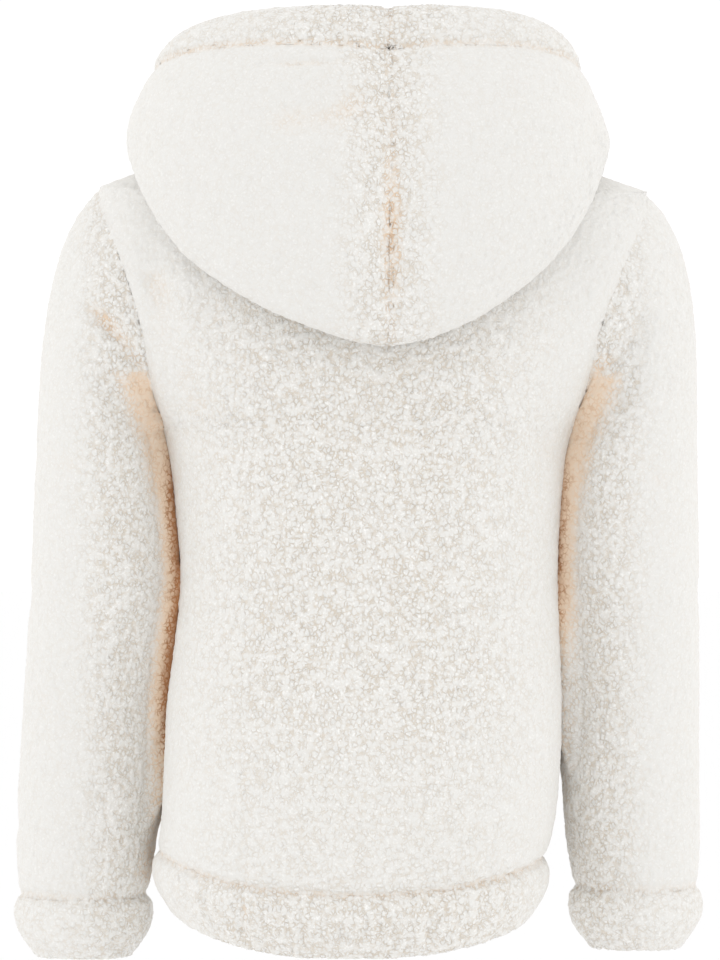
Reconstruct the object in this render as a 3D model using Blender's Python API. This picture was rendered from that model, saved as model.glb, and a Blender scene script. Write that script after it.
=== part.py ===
"""A hooded, zip-front sherpa fleece jacket, filled out as if worn, with the hood down.

Metres, +Z up. The wearer faces -Y, so the back is at +Y and the wearer's left is at +X.
The origin is the middle of the neck, level with the high points of the shoulders.
Each piece is a closed wall of cloth between an outer surface (the tips of the pile) and
an inner one. Pieces that are sewn together stop SEAM_GAP apart along the same seam line.
"""

import bisect
import math
from collections import namedtuple

import bmesh
import bpy
from mathutils import Matrix, Vector
from mathutils.bvhtree import BVHTree

# Cloth
CLOTH = 0.0075  # sherpa fleece: knitted ground and curled pile together
SEAM_GAP = 0.0003
PAST_SEAM = 0.0006
SEAM_DIP = 0.0022  # how far the pile sinks along a seam
BAND_PUFF = 0.0035  # how far a turned band swells out past the panel it is sewn to

# Grid of the panels
BACK_COLUMNS = 20
FRONT_COLUMNS = 9
ROWS_HEM_TO_ARMPIT = 12
ROWS_OF_ARMHOLE = 11
ROWS_OF_SHOULDER = 4
SLEEVE_CAP_ROWS = 9
SLEEVE_ARM_ROWS = 12

# Front opening and zip
OPENING_HALF = 0.007  # each front stops this far from the centre line
TAPE_INNER, TAPE_OUTER = 0.0013, 0.0155
TAPE_THICK = 0.0009
TAPE_EASE = 0.0012  # how far the tape is drawn in behind the hem band
TAPE_GAP = 0.0005  # between the tape and the front that it is sewn to
ZIP_BOX_LEVEL = -0.62
ZIP_TOP_LEVEL = 16
SLIDER_LEVEL = 13.0

# Armholes, in levels of the ring table and degrees round from the side seam
ARMPIT_LEVEL, SHOULDER_LEVEL, NECK_LEVEL = 8, 13, 17
ARMHOLE_BACK, ARMHOLE_FRONT = 34, 36

BAND_HEIGHT = 0.050
CUFF_HEIGHT = 0.050
CUFF_TUCK, HEM_TUCK = 0.011, 0.011  # how far the elastic draws a free edge in
HEM_COLUMNS = 114
GATHER_DEPTH = 0.0022

# The torso, ring by ring from the hem seam to the neck seam. A ring is level at the side seam,
# and reaches its own heights at the centre back and the centre front. squareness is the power of
# its superellipse, and shift is how far the garment leans towards the wearer's left there. The
# left side seam or shoulder lies higher than side_z by left_lift.
Ring = namedtuple(
    "Ring", "side_z back_z front_z half_width back front squareness shift left_lift", defaults=(0,)
)
RINGS = (
    Ring(-0.572, -0.594, -0.584, 0.1555, 0.105, 0.110, 2.40, 0.0090, 0.005),
    Ring(-0.546, -0.560, -0.554, 0.1580, 0.110, 0.115, 2.35, 0.003, 0.001),
    Ring(-0.500, -0.506, -0.503, 0.1590, 0.112, 0.118, 2.35, 0.000),
    Ring(-0.450, -0.453, -0.452, 0.1590, 0.110, 0.117, 2.35, -0.002),
    Ring(-0.402, -0.403, -0.403, 0.1548, 0.107, 0.115, 2.35, -0.004),
    Ring(-0.355, -0.355, -0.355, 0.1510, 0.104, 0.113, 2.35, -0.006),
    Ring(-0.308, -0.308, -0.308, 0.1540, 0.105, 0.115, 2.35, -0.005),
    Ring(-0.268, -0.265, -0.269, 0.1580, 0.108, 0.119, 2.30, -0.005),
    Ring(-0.235, -0.229, -0.237, 0.1640, 0.111, 0.121, 2.30, -0.005),
    Ring(-0.196, -0.188, -0.203, 0.1900, 0.113, 0.119, 2.20, -0.006),
    Ring(-0.156, -0.147, -0.170, 0.2120, 0.112, 0.112, 2.20, -0.007),
    Ring(-0.117, -0.109, -0.140, 0.2290, 0.107, 0.103, 2.10, -0.009),
    Ring(-0.080, -0.078, -0.117, 0.2310, 0.098, 0.096, 2.00, -0.009, 0.002),
    Ring(-0.042, -0.053, -0.101, 0.2200, 0.086, 0.091, 2.00, -0.009, 0.005),
    Ring(-0.026, -0.039, -0.094, 0.1760, 0.077, 0.089, 1.75, -0.009, 0.005),
    Ring(-0.015, -0.029, -0.089, 0.1400, 0.070, 0.087, 1.65, -0.009, 0.003),
    Ring(-0.007, -0.020, -0.083, 0.1060, 0.063, 0.086, 1.75, -0.009, 0.002),
    Ring(0.000, -0.012, -0.078, 0.0780, 0.057, 0.085, 2.00, -0.009),
)

# The hanging part of each sleeve, from under the armpit to the cuff seam, by its centre line.
Station = namedtuple("Station", "z centre_x centre_y half_x half_y")
SLEEVE_LEFT = (
    Station(-0.262, 0.2095, -0.004, 0.0520, 0.068),
    Station(-0.310, 0.2072, -0.010, 0.0572, 0.066),
    Station(-0.350, 0.2058, -0.015, 0.0602, 0.063),
    Station(-0.390, 0.2092, -0.020, 0.0598, 0.060),
    Station(-0.430, 0.2143, -0.024, 0.0573, 0.057),
    Station(-0.470, 0.2172, -0.028, 0.0577, 0.055),
    Station(-0.515, 0.2197, -0.032, 0.0579, 0.052),
    Station(-0.562, 0.2228, -0.035, 0.0573, 0.050),
    Station(-0.606, 0.2251, -0.037, 0.0541, 0.048),
)
SLEEVE_RIGHT = (
    Station(-0.262, -0.2159, -0.004, 0.0529, 0.068),
    Station(-0.310, -0.2142, -0.010, 0.0562, 0.066),
    Station(-0.350, -0.2140, -0.015, 0.0570, 0.063),
    Station(-0.390, -0.2144, -0.020, 0.0569, 0.060),
    Station(-0.430, -0.2167, -0.024, 0.0557, 0.057),
    Station(-0.470, -0.2170, -0.028, 0.0550, 0.055),
    Station(-0.515, -0.2168, -0.032, 0.0563, 0.052),
    Station(-0.556, -0.2187, -0.035, 0.0547, 0.050),
    Station(-0.599, -0.2214, -0.037, 0.0524, 0.048),
)

# The hood lies down as a pouch. share runs from the centre back (0) round to the centre front
# (1). The fold line is its lower edge, the rim line its open face edge, and fullness is how far
# the outer layer swells out between the two.
HoodLine = namedtuple("HoodLine", "share fold_x fold_y fold_z rim_x rim_y rim_z fullness")
HOOD = (
    HoodLine(0.00, 0.000, 0.137, -0.170, 0.000, 0.106, 0.098, 0.034),
    HoodLine(0.14, 0.052, 0.135, -0.157, 0.050, 0.103, 0.098, 0.034),
    HoodLine(0.28, 0.102, 0.123, -0.131, 0.110, 0.088, 0.094, 0.030),
    HoodLine(0.42, 0.149, 0.099, -0.090, 0.152, 0.055, 0.079, 0.021),
    HoodLine(0.56, 0.176, 0.034, -0.022, 0.160, 0.004, 0.052, 0.010),
    HoodLine(0.70, 0.150, -0.064, -0.030, 0.134, -0.056, 0.024, 0.010),
    HoodLine(0.85, 0.082, -0.118, -0.066, 0.078, -0.112, -0.014, 0.010),
    HoodLine(1.00, 0.019, -0.124, -0.090, 0.020, -0.126, -0.046, 0.005),
)
HOOD_CENTRE_X = -0.005
HOOD_SEAM_SWAY = -0.015  # the centre seam has slid this much further to the wearer's right
HOOD_FOLD_HALF = 0.017  # half the thickness of the pouch at its lower edge
HOOD_RIGHT_FULLNESS = 0.8  # the right side has slumped
HOOD_STAND = 0.020  # height of the neck part before it turns over
ARM_CLEARANCE = 0.0012  # between the sleeves and the body
HOOD_CLEARANCE = 0.0085  # between the hood's underside and the shoulders and back
HOOD_HEM_SHARE = 0.895  # where the turned hem of the face edge starts
HOOD_ROWS = (
    0, 0.035, 0.08, 0.12, 0.18, 0.25, 0.32, 0.38, 0.415, 0.445, 0.475, 0.51, 0.56,
    0.63, 0.71, 0.79, 0.86, 0.895,
)
HOOD_HEM_ROWS = (0.895, 0.91, 0.935, 0.96, 0.985, 1.0)
HOOD_SEAM_VALLEY = 0.006
HOOD_HEM_PUFF = 0.002
HOOD_KNOTS = (0, 0.06, 0.12, 0.26, 0.40, 0.46, 0.52, 0.70, 0.86, 1.0)  # of a profile's controls
HOOD_TURN_OUT = 0.015  # how far the neck part leans out where it turns over
HOOD_FOLD_RISE = 0.016  # from the lower edge of the pouch to where its two layers part

# Folds: soft troughs (depth above 0) and ridges (below 0) along a line from start to end.
Fold = namedtuple("Fold", "name start end depth width")
TORSO_FOLDS = (
    Fold("left blade trough", (0.178, 0.070, -0.050), (0.148, 0.095, -0.165), 0.0060, 0.013),
    Fold("left blade ridge", (0.146, 0.092, -0.080), (0.132, 0.102, -0.195), -0.0030, 0.014),
    Fold("right blade trough", (-0.176, 0.075, -0.085), (-0.158, 0.090, -0.170), 0.0035, 0.014),
    Fold("back waist ease", (0.110, 0.098, -0.330), (0.060, 0.108, -0.395), 0.0025, 0.026),
    Fold("back hip ease", (-0.130, 0.090, -0.420), (-0.085, 0.104, -0.480), 0.0025, 0.026),
    Fold("left chest trough", (0.165, -0.080, -0.120), (0.128, -0.112, -0.215), 0.0050, 0.015),
    Fold("right chest trough", (-0.178, -0.080, -0.120), (-0.144, -0.112, -0.220), 0.0045, 0.015),
    Fold("left front ease", (0.120, -0.100, -0.350), (0.075, -0.112, -0.440), 0.0030, 0.024),
    Fold("right front ease", (-0.130, -0.100, -0.390), (-0.080, -0.112, -0.460), 0.0030, 0.024),
)
SLEEVE_LEFT_FOLDS = (
    Fold("upper underarm crease", (0.226, 0.055, -0.112), (0.186, 0.070, -0.180), 0.0085, 0.010),
    Fold("ridge below it", (0.216, 0.062, -0.150), (0.184, 0.066, -0.203), -0.0040, 0.010),
    Fold("lower underarm crease", (0.212, 0.065, -0.176), (0.180, 0.050, -0.226), 0.0090, 0.010),
    Fold("front underarm crease", (0.222, -0.058, -0.125), (0.186, -0.068, -0.200), 0.0075, 0.012),
    Fold("inner elbow crease", (0.178, -0.062, -0.345), (0.236, -0.080, -0.372), 0.0045, 0.014),
    Fold("forearm crease", (0.186, -0.068, -0.415), (0.240, -0.086, -0.402), 0.0035, 0.013),
    Fold("back elbow ease", (0.178, 0.030, -0.400), (0.225, 0.050, -0.430), 0.0025, 0.018),
    Fold("wrist ease", (0.190, 0.010, -0.530), (0.232, 0.024, -0.548), 0.0022, 0.014),
)
SLEEVE_RIGHT_FOLDS = (
    Fold("upper underarm crease", (-0.222, 0.062, -0.140), (-0.186, 0.072, -0.190), 0.0070, 0.011),
    Fold("lower underarm crease", (-0.214, 0.064, -0.186), (-0.190, 0.050, -0.228), 0.0080, 0.010),
    Fold("front underarm crease", (-0.226, -0.058, -0.130), (-0.192, -0.068, -0.205), 0.0070, 0.012),
    Fold("inner elbow crease", (-0.182, -0.062, -0.352), (-0.236, -0.080, -0.380), 0.0045, 0.014),
    Fold("forearm crease", (-0.184, -0.068, -0.420), (-0.238, -0.086, -0.408), 0.0035, 0.013),
    Fold("back elbow ease", (-0.178, 0.028, -0.372), (-0.226, 0.050, -0.408), 0.0030, 0.018),
    Fold("wrist ease", (-0.186, 0.008, -0.520), (-0.230, 0.024, -0.540), 0.0022, 0.014),
)
HOOD_FOLDS = (
    Fold("left crown crease", (0.075, 0.155, 0.000), (-0.008, 0.158, 0.022), 0.0045, 0.012),
    Fold("left crown ridge", (0.070, 0.150, 0.024), (-0.002, 0.150, 0.042), -0.0025, 0.012),
    Fold("right crown dent", (-0.054, 0.155, 0.026), (-0.050, 0.160, -0.030), 0.0025, 0.013),
    Fold("left side dent", (0.160, 0.080, 0.010), (0.120, 0.135, -0.045), 0.0030, 0.022),
    Fold("right side dent", (-0.175, 0.080, 0.000), (-0.135, 0.130, -0.050), 0.0030, 0.022),
)

UP = Vector((0, 0, 1))
LEAVING_SPREAD = Vector((1, 0.3, 1))
RIM_ORDER = Vector((0.31, 0.73, 1))
CREAM = (0.86, 0.82, 0.76, 1)
WHITE_TAPE = (0.84, 0.81, 0.75, 1)
NICKEL = (0.62, 0.61, 0.59, 1)


# ---------------------------------------------------------------- shared helpers


def cubic(a, b, c, d, t):
    """Catmull-Rom value between b and c."""
    return b + 0.5 * t * (c - a + t * (2 * a - 5 * b + 4 * c - d + t * (3 * (b - c) + d - a)))


def between(rows, position):
    """A row read smoothly between the rows of a table, at a position counted in rows."""
    last = len(rows) - 1
    position = min(max(position, 0), last)
    i = min(int(position), last - 1)
    picks = [rows[min(max(i + k, 0), last)] for k in (-1, 0, 1, 2)]
    return type(rows[0])(*(cubic(*values, position - i) for values in zip(*picks)))


def spread(start, end, count):
    return [start + (end - start) * i / count for i in range(count + 1)]


def with_seam_columns(count, edge):
    """Shares from 0 to 1, with a narrow first and last column for the pile to sink in."""
    return [0, *spread(edge, 1 - edge, count - 2), 1]


def signed_power(value, power):
    return math.copysign(abs(value) ** power, value)


def smooth(t):
    t = min(max(t, 0), 1)
    return t * t * (3 - 2 * t)


def fold_offset(point, folds):
    """How far the folds move this point along the cloth's outward normal."""
    moved = 0
    for fold in folds:
        start, end = Vector(fold.start), Vector(fold.end)
        along = end - start
        t = min(max((point - start).dot(along) / along.length_squared, 0), 1)
        taper = 0.45 + 0.55 * math.sin(math.pi * t)
        near = (point - start - along * t).length / fold.width
        moved -= fold.depth * taper * math.exp(-near * near)
    return moved


def grid_normal(grid, i, j, closed):
    """Outward normal of a grid of points at row i and column j."""
    rows, columns = len(grid), len(grid[0])
    before, after = grid[max(i - 1, 0)][j], grid[min(i + 1, rows - 1)][j]
    if closed:
        left, right = grid[i][j - 1], grid[i][(j + 1) % columns]
    else:
        left, right = grid[i][max(j - 1, 0)], grid[i][min(j + 1, columns - 1)]
    return (right - left).cross(after - before).normalized()


def level_way(vector):
    """The same way, kept level."""
    return Vector((vector.x, vector.y, 0)).normalized()


def mitre(one, other):
    """Where a seam's end faces lie between the normals of the two pieces that meet in it."""
    middle = (one + other).normalized()
    return middle / max(middle.dot(one), 0.65)


def parting(along_seam, seam_mitre, towards):
    """The way square to a seam's end faces that leads towards one of its two pieces."""
    square = along_seam.cross(seam_mitre).normalized()
    return square if square.dot(towards) > 0 else -square


def past_seam(point, seam_point, way, margin):
    """The point, moved on if need be to lie at least margin past a seam's end faces."""
    return point + way * max(margin - (point - seam_point).dot(way), 0)


def part_at_seams(grid, closed, gap=SEAM_GAP / 2, rows=True, columns=True):
    """Draws the border points of a grid back from the seam line, along the cloth."""
    made = [list(row) for row in grid]
    if rows:
        for j, point in enumerate(grid[0]):
            made[0][j] = point + (grid[1][j] - point).normalized() * gap
            made[-1][j] = grid[-1][j] + (grid[-2][j] - grid[-1][j]).normalized() * gap
    if columns and not closed:
        for i, row in enumerate(made):
            row[0] = row[0] + (grid[i][1] - grid[i][0]).normalized() * gap
            row[-1] = row[-1] + (grid[i][-2] - grid[i][-1]).normalized() * gap
    return made


def material(name, colour, roughness, metallic=0.0):
    found = bpy.data.materials.get(name)
    if found:
        return found
    made = bpy.data.materials.new(name)
    made.use_nodes = True
    shader = made.node_tree.nodes["Principled BSDF"]
    shader.inputs["Base Color"].default_value = colour
    shader.inputs["Roughness"].default_value = roughness
    shader.inputs["Metallic"].default_value = metallic
    return made


def link(name, mesh, finish, smooth_shading=True):
    obj = bpy.data.objects.new(name, mesh)
    jacket.objects.link(obj)
    mesh.materials.append(finish)
    if smooth_shading:
        mesh.shade_smooth()
        mesh.set_sharp_from_angle(angle=math.radians(55))
    return obj


def wall(name, outer, inner, closed, finish):
    """One closed piece of cloth between two like grids, with a rim along every free edge."""
    rows, columns = len(outer), len(outer[0])
    bm = bmesh.new()
    skins = [[[bm.verts.new(p) for p in row] for row in grid] for grid in (outer, inner)]
    out, ins = skins
    around = columns if closed else columns - 1
    for i in range(rows - 1):
        for j in range(around):
            k = (j + 1) % columns
            bm.faces.new((out[i][j], out[i][k], out[i + 1][k], out[i + 1][j]))
            bm.faces.new((ins[i][j], ins[i + 1][j], ins[i + 1][k], ins[i][k]))
    edges = [((i, j), (i, (j + 1) % columns)) for i in (0, rows - 1) for j in range(around)]
    if not closed:
        edges += [((i, j), (i + 1, j)) for j in (0, columns - 1) for i in range(rows - 1)]
    for start, end in edges:
        # Both pieces of a seam split their rims the same way, so that neither crosses the other.
        a, b = sorted((start, end), key=lambda at: outer[at[0]][at[1]].dot(RIM_ORDER))
        (out_a, in_a), (out_b, in_b) = ([skin[i][j] for skin in skins] for i, j in (a, b))
        bm.faces.new((out_a, out_b, in_b))
        bm.faces.new((out_a, in_b, in_a))
    bmesh.ops.recalc_face_normals(bm, faces=bm.faces)
    mesh = bpy.data.meshes.new(name)
    bm.to_mesh(mesh)
    bm.free()
    return link(name, mesh, finish)


# ---------------------------------------------------------------- torso


def torso_point(level, turn):
    """A point of the torso's outer surface. turn is in degrees: 0 at the wearer's left side
    seam, 90 at the centre back, 180 at the right side seam and 270 at the centre front."""
    ring = between(RINGS, level)
    c, s = math.cos(math.radians(turn)), math.sin(math.radians(turn))
    power = 2 / ring.squareness
    depth, end_z = (ring.back, ring.back_z) if s > 0 else (ring.front, ring.front_z)
    side_z = ring.side_z + (ring.left_lift if c > 0 else 0)
    return Vector((
        ring.shift + ring.half_width * signed_power(c, power),
        depth * signed_power(s, power),
        side_z + (end_z - side_z) * s * s,
    ))


def torso_normal(level, turn):
    round_step, up_step = 2.5, 0.12
    round_way = torso_point(level, turn + round_step) - torso_point(level, turn - round_step)
    up_way = torso_point(level + up_step, turn) - torso_point(level - up_step, turn)
    return round_way.cross(up_way).normalized()


def armhole_turn(level, widest):
    """Degrees from the side seam to the armhole's edge: 0 at the armpit and at the shoulder."""
    share = (level - ARMPIT_LEVEL) / (SHOULDER_LEVEL - ARMPIT_LEVEL)
    if not 0 < share < 1:
        return 0
    return widest * math.sin(math.pi * share) ** 0.55


def front_turn(level, x):
    """The turn at which the front of a ring is x from the garment's centre line."""
    ring = between(RINGS, level)
    return 270 + math.degrees(math.asin((x / ring.half_width) ** (ring.squareness / 2)))


def torso_levels():
    hem_to_armpit = spread(0, ARMPIT_LEVEL, ROWS_HEM_TO_ARMPIT - 1)
    reach = SHOULDER_LEVEL - ARMPIT_LEVEL
    rounded = [(1 - math.cos(math.pi * t)) / 2 for t in spread(0, 1, ROWS_OF_ARMHOLE)]
    armhole = [ARMPIT_LEVEL + reach * t for t in rounded[:-1]] + [SHOULDER_LEVEL]
    shoulder = spread(SHOULDER_LEVEL, NECK_LEVEL, ROWS_OF_SHOULDER)
    return [0, 0.2, *hem_to_armpit[1:], *armhole[1:], *shoulder[1:]]


LEVELS = torso_levels()
ARMPIT_ROW = LEVELS.index(ARMPIT_LEVEL)
SHOULDER_ROW = LEVELS.index(SHOULDER_LEVEL)


def panel_turns(level, panel):
    """The turns of one row of a panel, from the seam it starts at to the one it ends at."""
    if panel == "back":
        edge = armhole_turn(level, ARMHOLE_BACK)
        return [edge + (180 - 2 * edge) * t for t in with_seam_columns(BACK_COLUMNS, 0.035)]
    edge = armhole_turn(level, ARMHOLE_FRONT)
    centre = front_turn(level, OPENING_HALF)
    left = [centre + (360 - edge - centre) * t for t in with_seam_columns(FRONT_COLUMNS, 0.06)]
    return left if panel == "front_left" else [540 - turn for turn in reversed(left)]


def place_key(level, turn):
    return round(level, 4), round(turn % 360, 3)


def neck_seam(turn):
    """The mitre of the neck seam at this turn, and the way from it into the hood."""
    n = torso_normal(NECK_LEVEL, turn)
    along = torso_point(NECK_LEVEL, turn + 3) - torso_point(NECK_LEVEL, turn - 3)
    neck_mitre = mitre(n, level_way(n))
    return neck_mitre, parting(along, neck_mitre, UP)


def torso_panel(panel, armholes, finish):
    """One cut piece of the torso. armholes holds, for each point of the sleeves' seams, the
    mitre there and the way from it into the sleeve."""
    last_row = len(LEVELS) - 1
    outer, inner, leave = [], [], {}
    for i, level in enumerate(LEVELS):
        turns = panel_turns(level, panel)
        last_column = len(turns) - 1
        clear = smooth(min(i, last_row - i) / 2)
        outer.append([])
        inner.append([])
        for j, turn in enumerate(turns):
            n = torso_normal(level, turn)
            inside = clear * smooth(min(j, last_column - j) / 2)
            base = torso_point(level, turn)
            point = base + n * fold_offset(base, TORSO_FOLDS) * inside
            sunk = SEAM_DIP if i in (0, last_row) or j in (0, last_column) else 0
            if i == 0:
                n = level_way(n)
            if i == last_row:
                n, leave[i, j] = neck_seam(turn)
            if place_key(level, turn) in armholes:
                n, leave[i, j] = armholes[place_key(level, turn)]
            outer[i].append(point - n * sunk)
            inner[i].append(point - n * CLOTH)
    sewn = [part_at_seams(grid, False) for grid in (outer, inner)]
    for (i, j), way in leave.items():
        for skin, grid in zip(sewn, (outer, inner)):
            sideways = grid[i][1] - grid[i][0] if j == 0 else grid[i][-2] - grid[i][-1]
            shared = j in (0, len(grid[i]) - 1) and i in (ARMPIT_ROW, SHOULDER_ROW, last_row)
            skin[i][j] = grid[i][j] - way * SEAM_GAP / 2
            skin[i][j] += sideways.normalized() * SEAM_GAP / 2 if shared else Vector()
            for k in (1, 2) if i != last_row else ():
                beside = k if j == 0 else -1 - k
                skin[i][beside] = past_seam(skin[i][beside], outer[i][j], -way, PAST_SEAM * k)
    wall(panel, *sewn, False, finish)
    return outer


# ---------------------------------------------------------------- sleeves and cuffs


def armhole_loop(side):
    """Rows of (level, turn) round an armhole: shoulder tip, down the back, armpit, up the front."""
    rows = LEVELS[ARMPIT_ROW : SHOULDER_ROW + 1]
    back = [(level, armhole_turn(level, ARMHOLE_BACK)) for level in reversed(rows)]
    front = [(level, -armhole_turn(level, ARMHOLE_FRONT)) for level in rows[1:-1]]
    loop = back + front
    return loop if side > 0 else [(level, 180 - turn) for level, turn in loop]


def sleeve_ring(stations, side, z_row, columns):
    """A ring of the hanging sleeve. Column 0 faces away from the body, then back, in, front."""
    station = between(stations, z_row)
    ring = []
    for j in range(columns):
        angle = 2 * math.pi * j / columns
        x = station.centre_x + side * station.half_x * math.cos(angle)
        y = station.centre_y + station.half_y * math.sin(angle)
        ring.append(Vector((x, y, station.z)))
    return ring


def leaving(along_seam, normal, side):
    """The way a sleeve leaves its seam: on along the shoulder, straight out under the arm."""
    away = (along_seam.cross(normal) * side).normalized()
    under = max(away.z, 0)
    return (away * LEAVING_SPREAD - UP * under + normal * under * 1.5).normalized()


def kept_clear(point, obstacles, clearance):
    near, normal, _, _ = obstacles.find_nearest(point)
    if (point - near).dot(normal) < clearance:
        return near + normal * clearance
    return point


def sleeve_grid(side, stations, folds, body):
    """The outer surface of a sleeve, its normals, and the mitres and ways of its armhole seam."""
    loop = armhole_loop(side)
    columns = len(loop)
    seam = [torso_point(*place) for place in loop]
    seam_normals = [torso_normal(*place) for place in loop]
    bicep = sleeve_ring(stations, side, 0, columns)
    below = sleeve_ring(stations, side, 1, columns)
    grid = []
    for i in range(SLEEVE_CAP_ROWS):
        t = i / SLEEVE_CAP_ROWS
        row = []
        for j in range(columns):
            reach = (bicep[j] - seam[j]).length
            away = leaving(seam[(j + 1) % columns] - seam[j - 1], seam_normals[j], side)
            down = (below[j] - bicep[j]).normalized()
            row.append(
                seam[j] * (2 * t**3 - 3 * t**2 + 1)
                + away * reach * 0.9 * (t**3 - 2 * t**2 + t)
                + bicep[j] * (3 * t**2 - 2 * t**3)
                + down * reach * (t**3 - t**2)
            )
        grid.append(row)
    for z_row in spread(0, len(stations) - 1, SLEEVE_ARM_ROWS):
        grid.append(sleeve_ring(stations, side, z_row, columns))
    if side > 0:
        grid = [row[::-1] for row in grid]
        seam_normals = seam_normals[::-1]
        loop = loop[::-1]
    last = len(grid) - 1
    folded = []
    for i, row in enumerate(grid):
        ease = smooth(min(i, last - i) / 3)
        clearance = ARM_CLEARANCE * min(i / 3, 1)
        folded.append([])
        for j, point in enumerate(row):
            point = point + grid_normal(grid, i, j, True) * fold_offset(point, folds) * ease
            folded[i].append(kept_clear(point, body, clearance) if i else point)
    normals = [[grid_normal(folded, i, j, True) for j in range(columns)] for i in range(last + 1)]
    normals[0] = [mitre(*pair) for pair in zip(seam_normals, normals[0])]
    normals[-1] = [level_way(n) for n in normals[-1]]
    seam_row = folded[0]
    ways = []
    for j, seam_mitre in enumerate(normals[0]):
        along = seam_row[(j + 1) % columns] - seam_row[j - 1]
        ways.append(parting(along, seam_mitre, folded[1][j] - seam_row[j]))
    armhole = {place_key(*place): pair for place, *pair in zip(loop, normals[0], ways)}
    return folded, normals, armhole


def sleeve(name, grid, normals, armhole, finish):
    ends = (0, len(grid) - 1)
    outer = [
        [p - n * (SEAM_DIP if i in ends else 0) for p, n in zip(row, normals[i])]
        for i, row in enumerate(grid)
    ]
    inner = [[p - n * CLOTH for p, n in zip(row, normals[i])] for i, row in enumerate(grid)]
    sewn = [part_at_seams(skin, True, SEAM_GAP) for skin in (outer, inner)]
    for j, (_, way) in enumerate(armhole.values()):
        for made, skin in zip(sewn, (outer, inner)):
            made[0][j] = skin[0][j] + way * SEAM_GAP / 2
            for i in (1, 2):
                made[i][j] = past_seam(made[i][j], outer[0][j], way, PAST_SEAM * i)
    wall("sleeve_" + name, *sewn, True, finish)
    cuff("cuff_" + name, grid[-1], normals[-1], finish)


def band_section(share, thickness, puff):
    """How far the outer and inner skins of a turned band lie from the panel's outer surface,
    at this share of its width from the seam to its rounded free edge."""
    rounding = max(math.sqrt(max(0, 1 - max(0, (share - 0.62) / 0.38) ** 2)), 0.2)
    swell = puff * math.sin(math.pi * min(share / 0.9, 1)) ** 0.6
    swell -= SEAM_DIP * (1 - smooth(share / 0.14))
    middle = -thickness / 2
    return middle + (swell - middle) * rounding, middle - thickness / 2 * rounding


def cuff(name, seam_ring, seam_normals, finish):
    """A turned band at the wrist, swollen a little past the sleeve."""
    outer, inner = [], []
    for share in (0, 0.12, 0.42, 0.70, 0.9, 1):
        out_by, in_by = band_section(share, CLOTH if share == 0 else CLOTH * 1.3, BAND_PUFF)
        tuck = -CUFF_TUCK * smooth((share - 0.4) / 0.6)
        drop = UP * -(SEAM_GAP + CUFF_HEIGHT * share)
        outer.append([p + drop + n * (out_by + tuck) for p, n in zip(seam_ring, seam_normals)])
        inner.append([p + drop + n * (in_by + tuck) for p, n in zip(seam_ring, seam_normals)])
    wall(name, outer, inner, True, finish)


# ---------------------------------------------------------------- hem band


def gather(column):
    """Height of the gathers at a column of the hem band. They are uneven in depth."""
    uneven = 0.62 + 0.38 * math.sin(column * 1.9) * math.cos(column * 0.37 + 1)
    return GATHER_DEPTH * uneven * (1 if column % 3 else -1.1)


def band_turns(count):
    """Turns evenly spaced along the hem, from the left front edge round to the right one."""
    start, end = front_turn(0, OPENING_HALF) - 360, 540 - front_turn(0, OPENING_HALF)
    fine = spread(start, end, 720)
    points = [torso_point(0, turn) for turn in fine]
    run = [0]
    for a, b in zip(points, points[1:]):
        run.append(run[-1] + (b - a).length)
    turns = []
    for goal in spread(0, run[-1], count):
        k = min(bisect.bisect_left(run, goal), len(run) - 1)
        turns.append(fine[k])
    return turns


def hem_tuck(share):
    return -HEM_TUCK * smooth((share - 0.35) / 0.65)


def hem_band(finish):
    """The elasticated band: one strip from one front edge round the back to the other."""
    turns = band_turns(HEM_COLUMNS)
    outer, inner = [], []
    for share in (0, 0.14, 0.45, 0.78, 1):
        out_by, in_by = band_section(share, CLOTH, BAND_PUFF)
        tuck = hem_tuck(share)
        outer.append([])
        inner.append([])
        for j, turn in enumerate(turns):
            n = level_way(torso_normal(0, turn))
            point = torso_point(0, turn) + UP * -(SEAM_GAP + BAND_HEIGHT * share)
            ruffle = gather(j) * math.sin(math.pi * min(share + 0.12, 1)) ** 0.5
            outer[-1].append(point + n * (out_by + tuck + ruffle))
            inner[-1].append(point + n * (in_by + tuck))
    wall("hem_band", outer, inner, False, finish)


# ---------------------------------------------------------------- hood


def hood_line(share):
    """The hood's row at any share of the way from the centre back to the centre front."""
    shares = [row.share for row in HOOD]
    i = max(k for k, value in enumerate(shares[:-1]) if value <= share)
    position = i + (share - shares[i]) / (shares[i + 1] - shares[i])
    mirrored = tuple(row._replace(fold_x=-row.fold_x, rim_x=-row.rim_x) for row in HOOD[2:0:-1])
    return between(mirrored + HOOD, position + len(mirrored))


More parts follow.
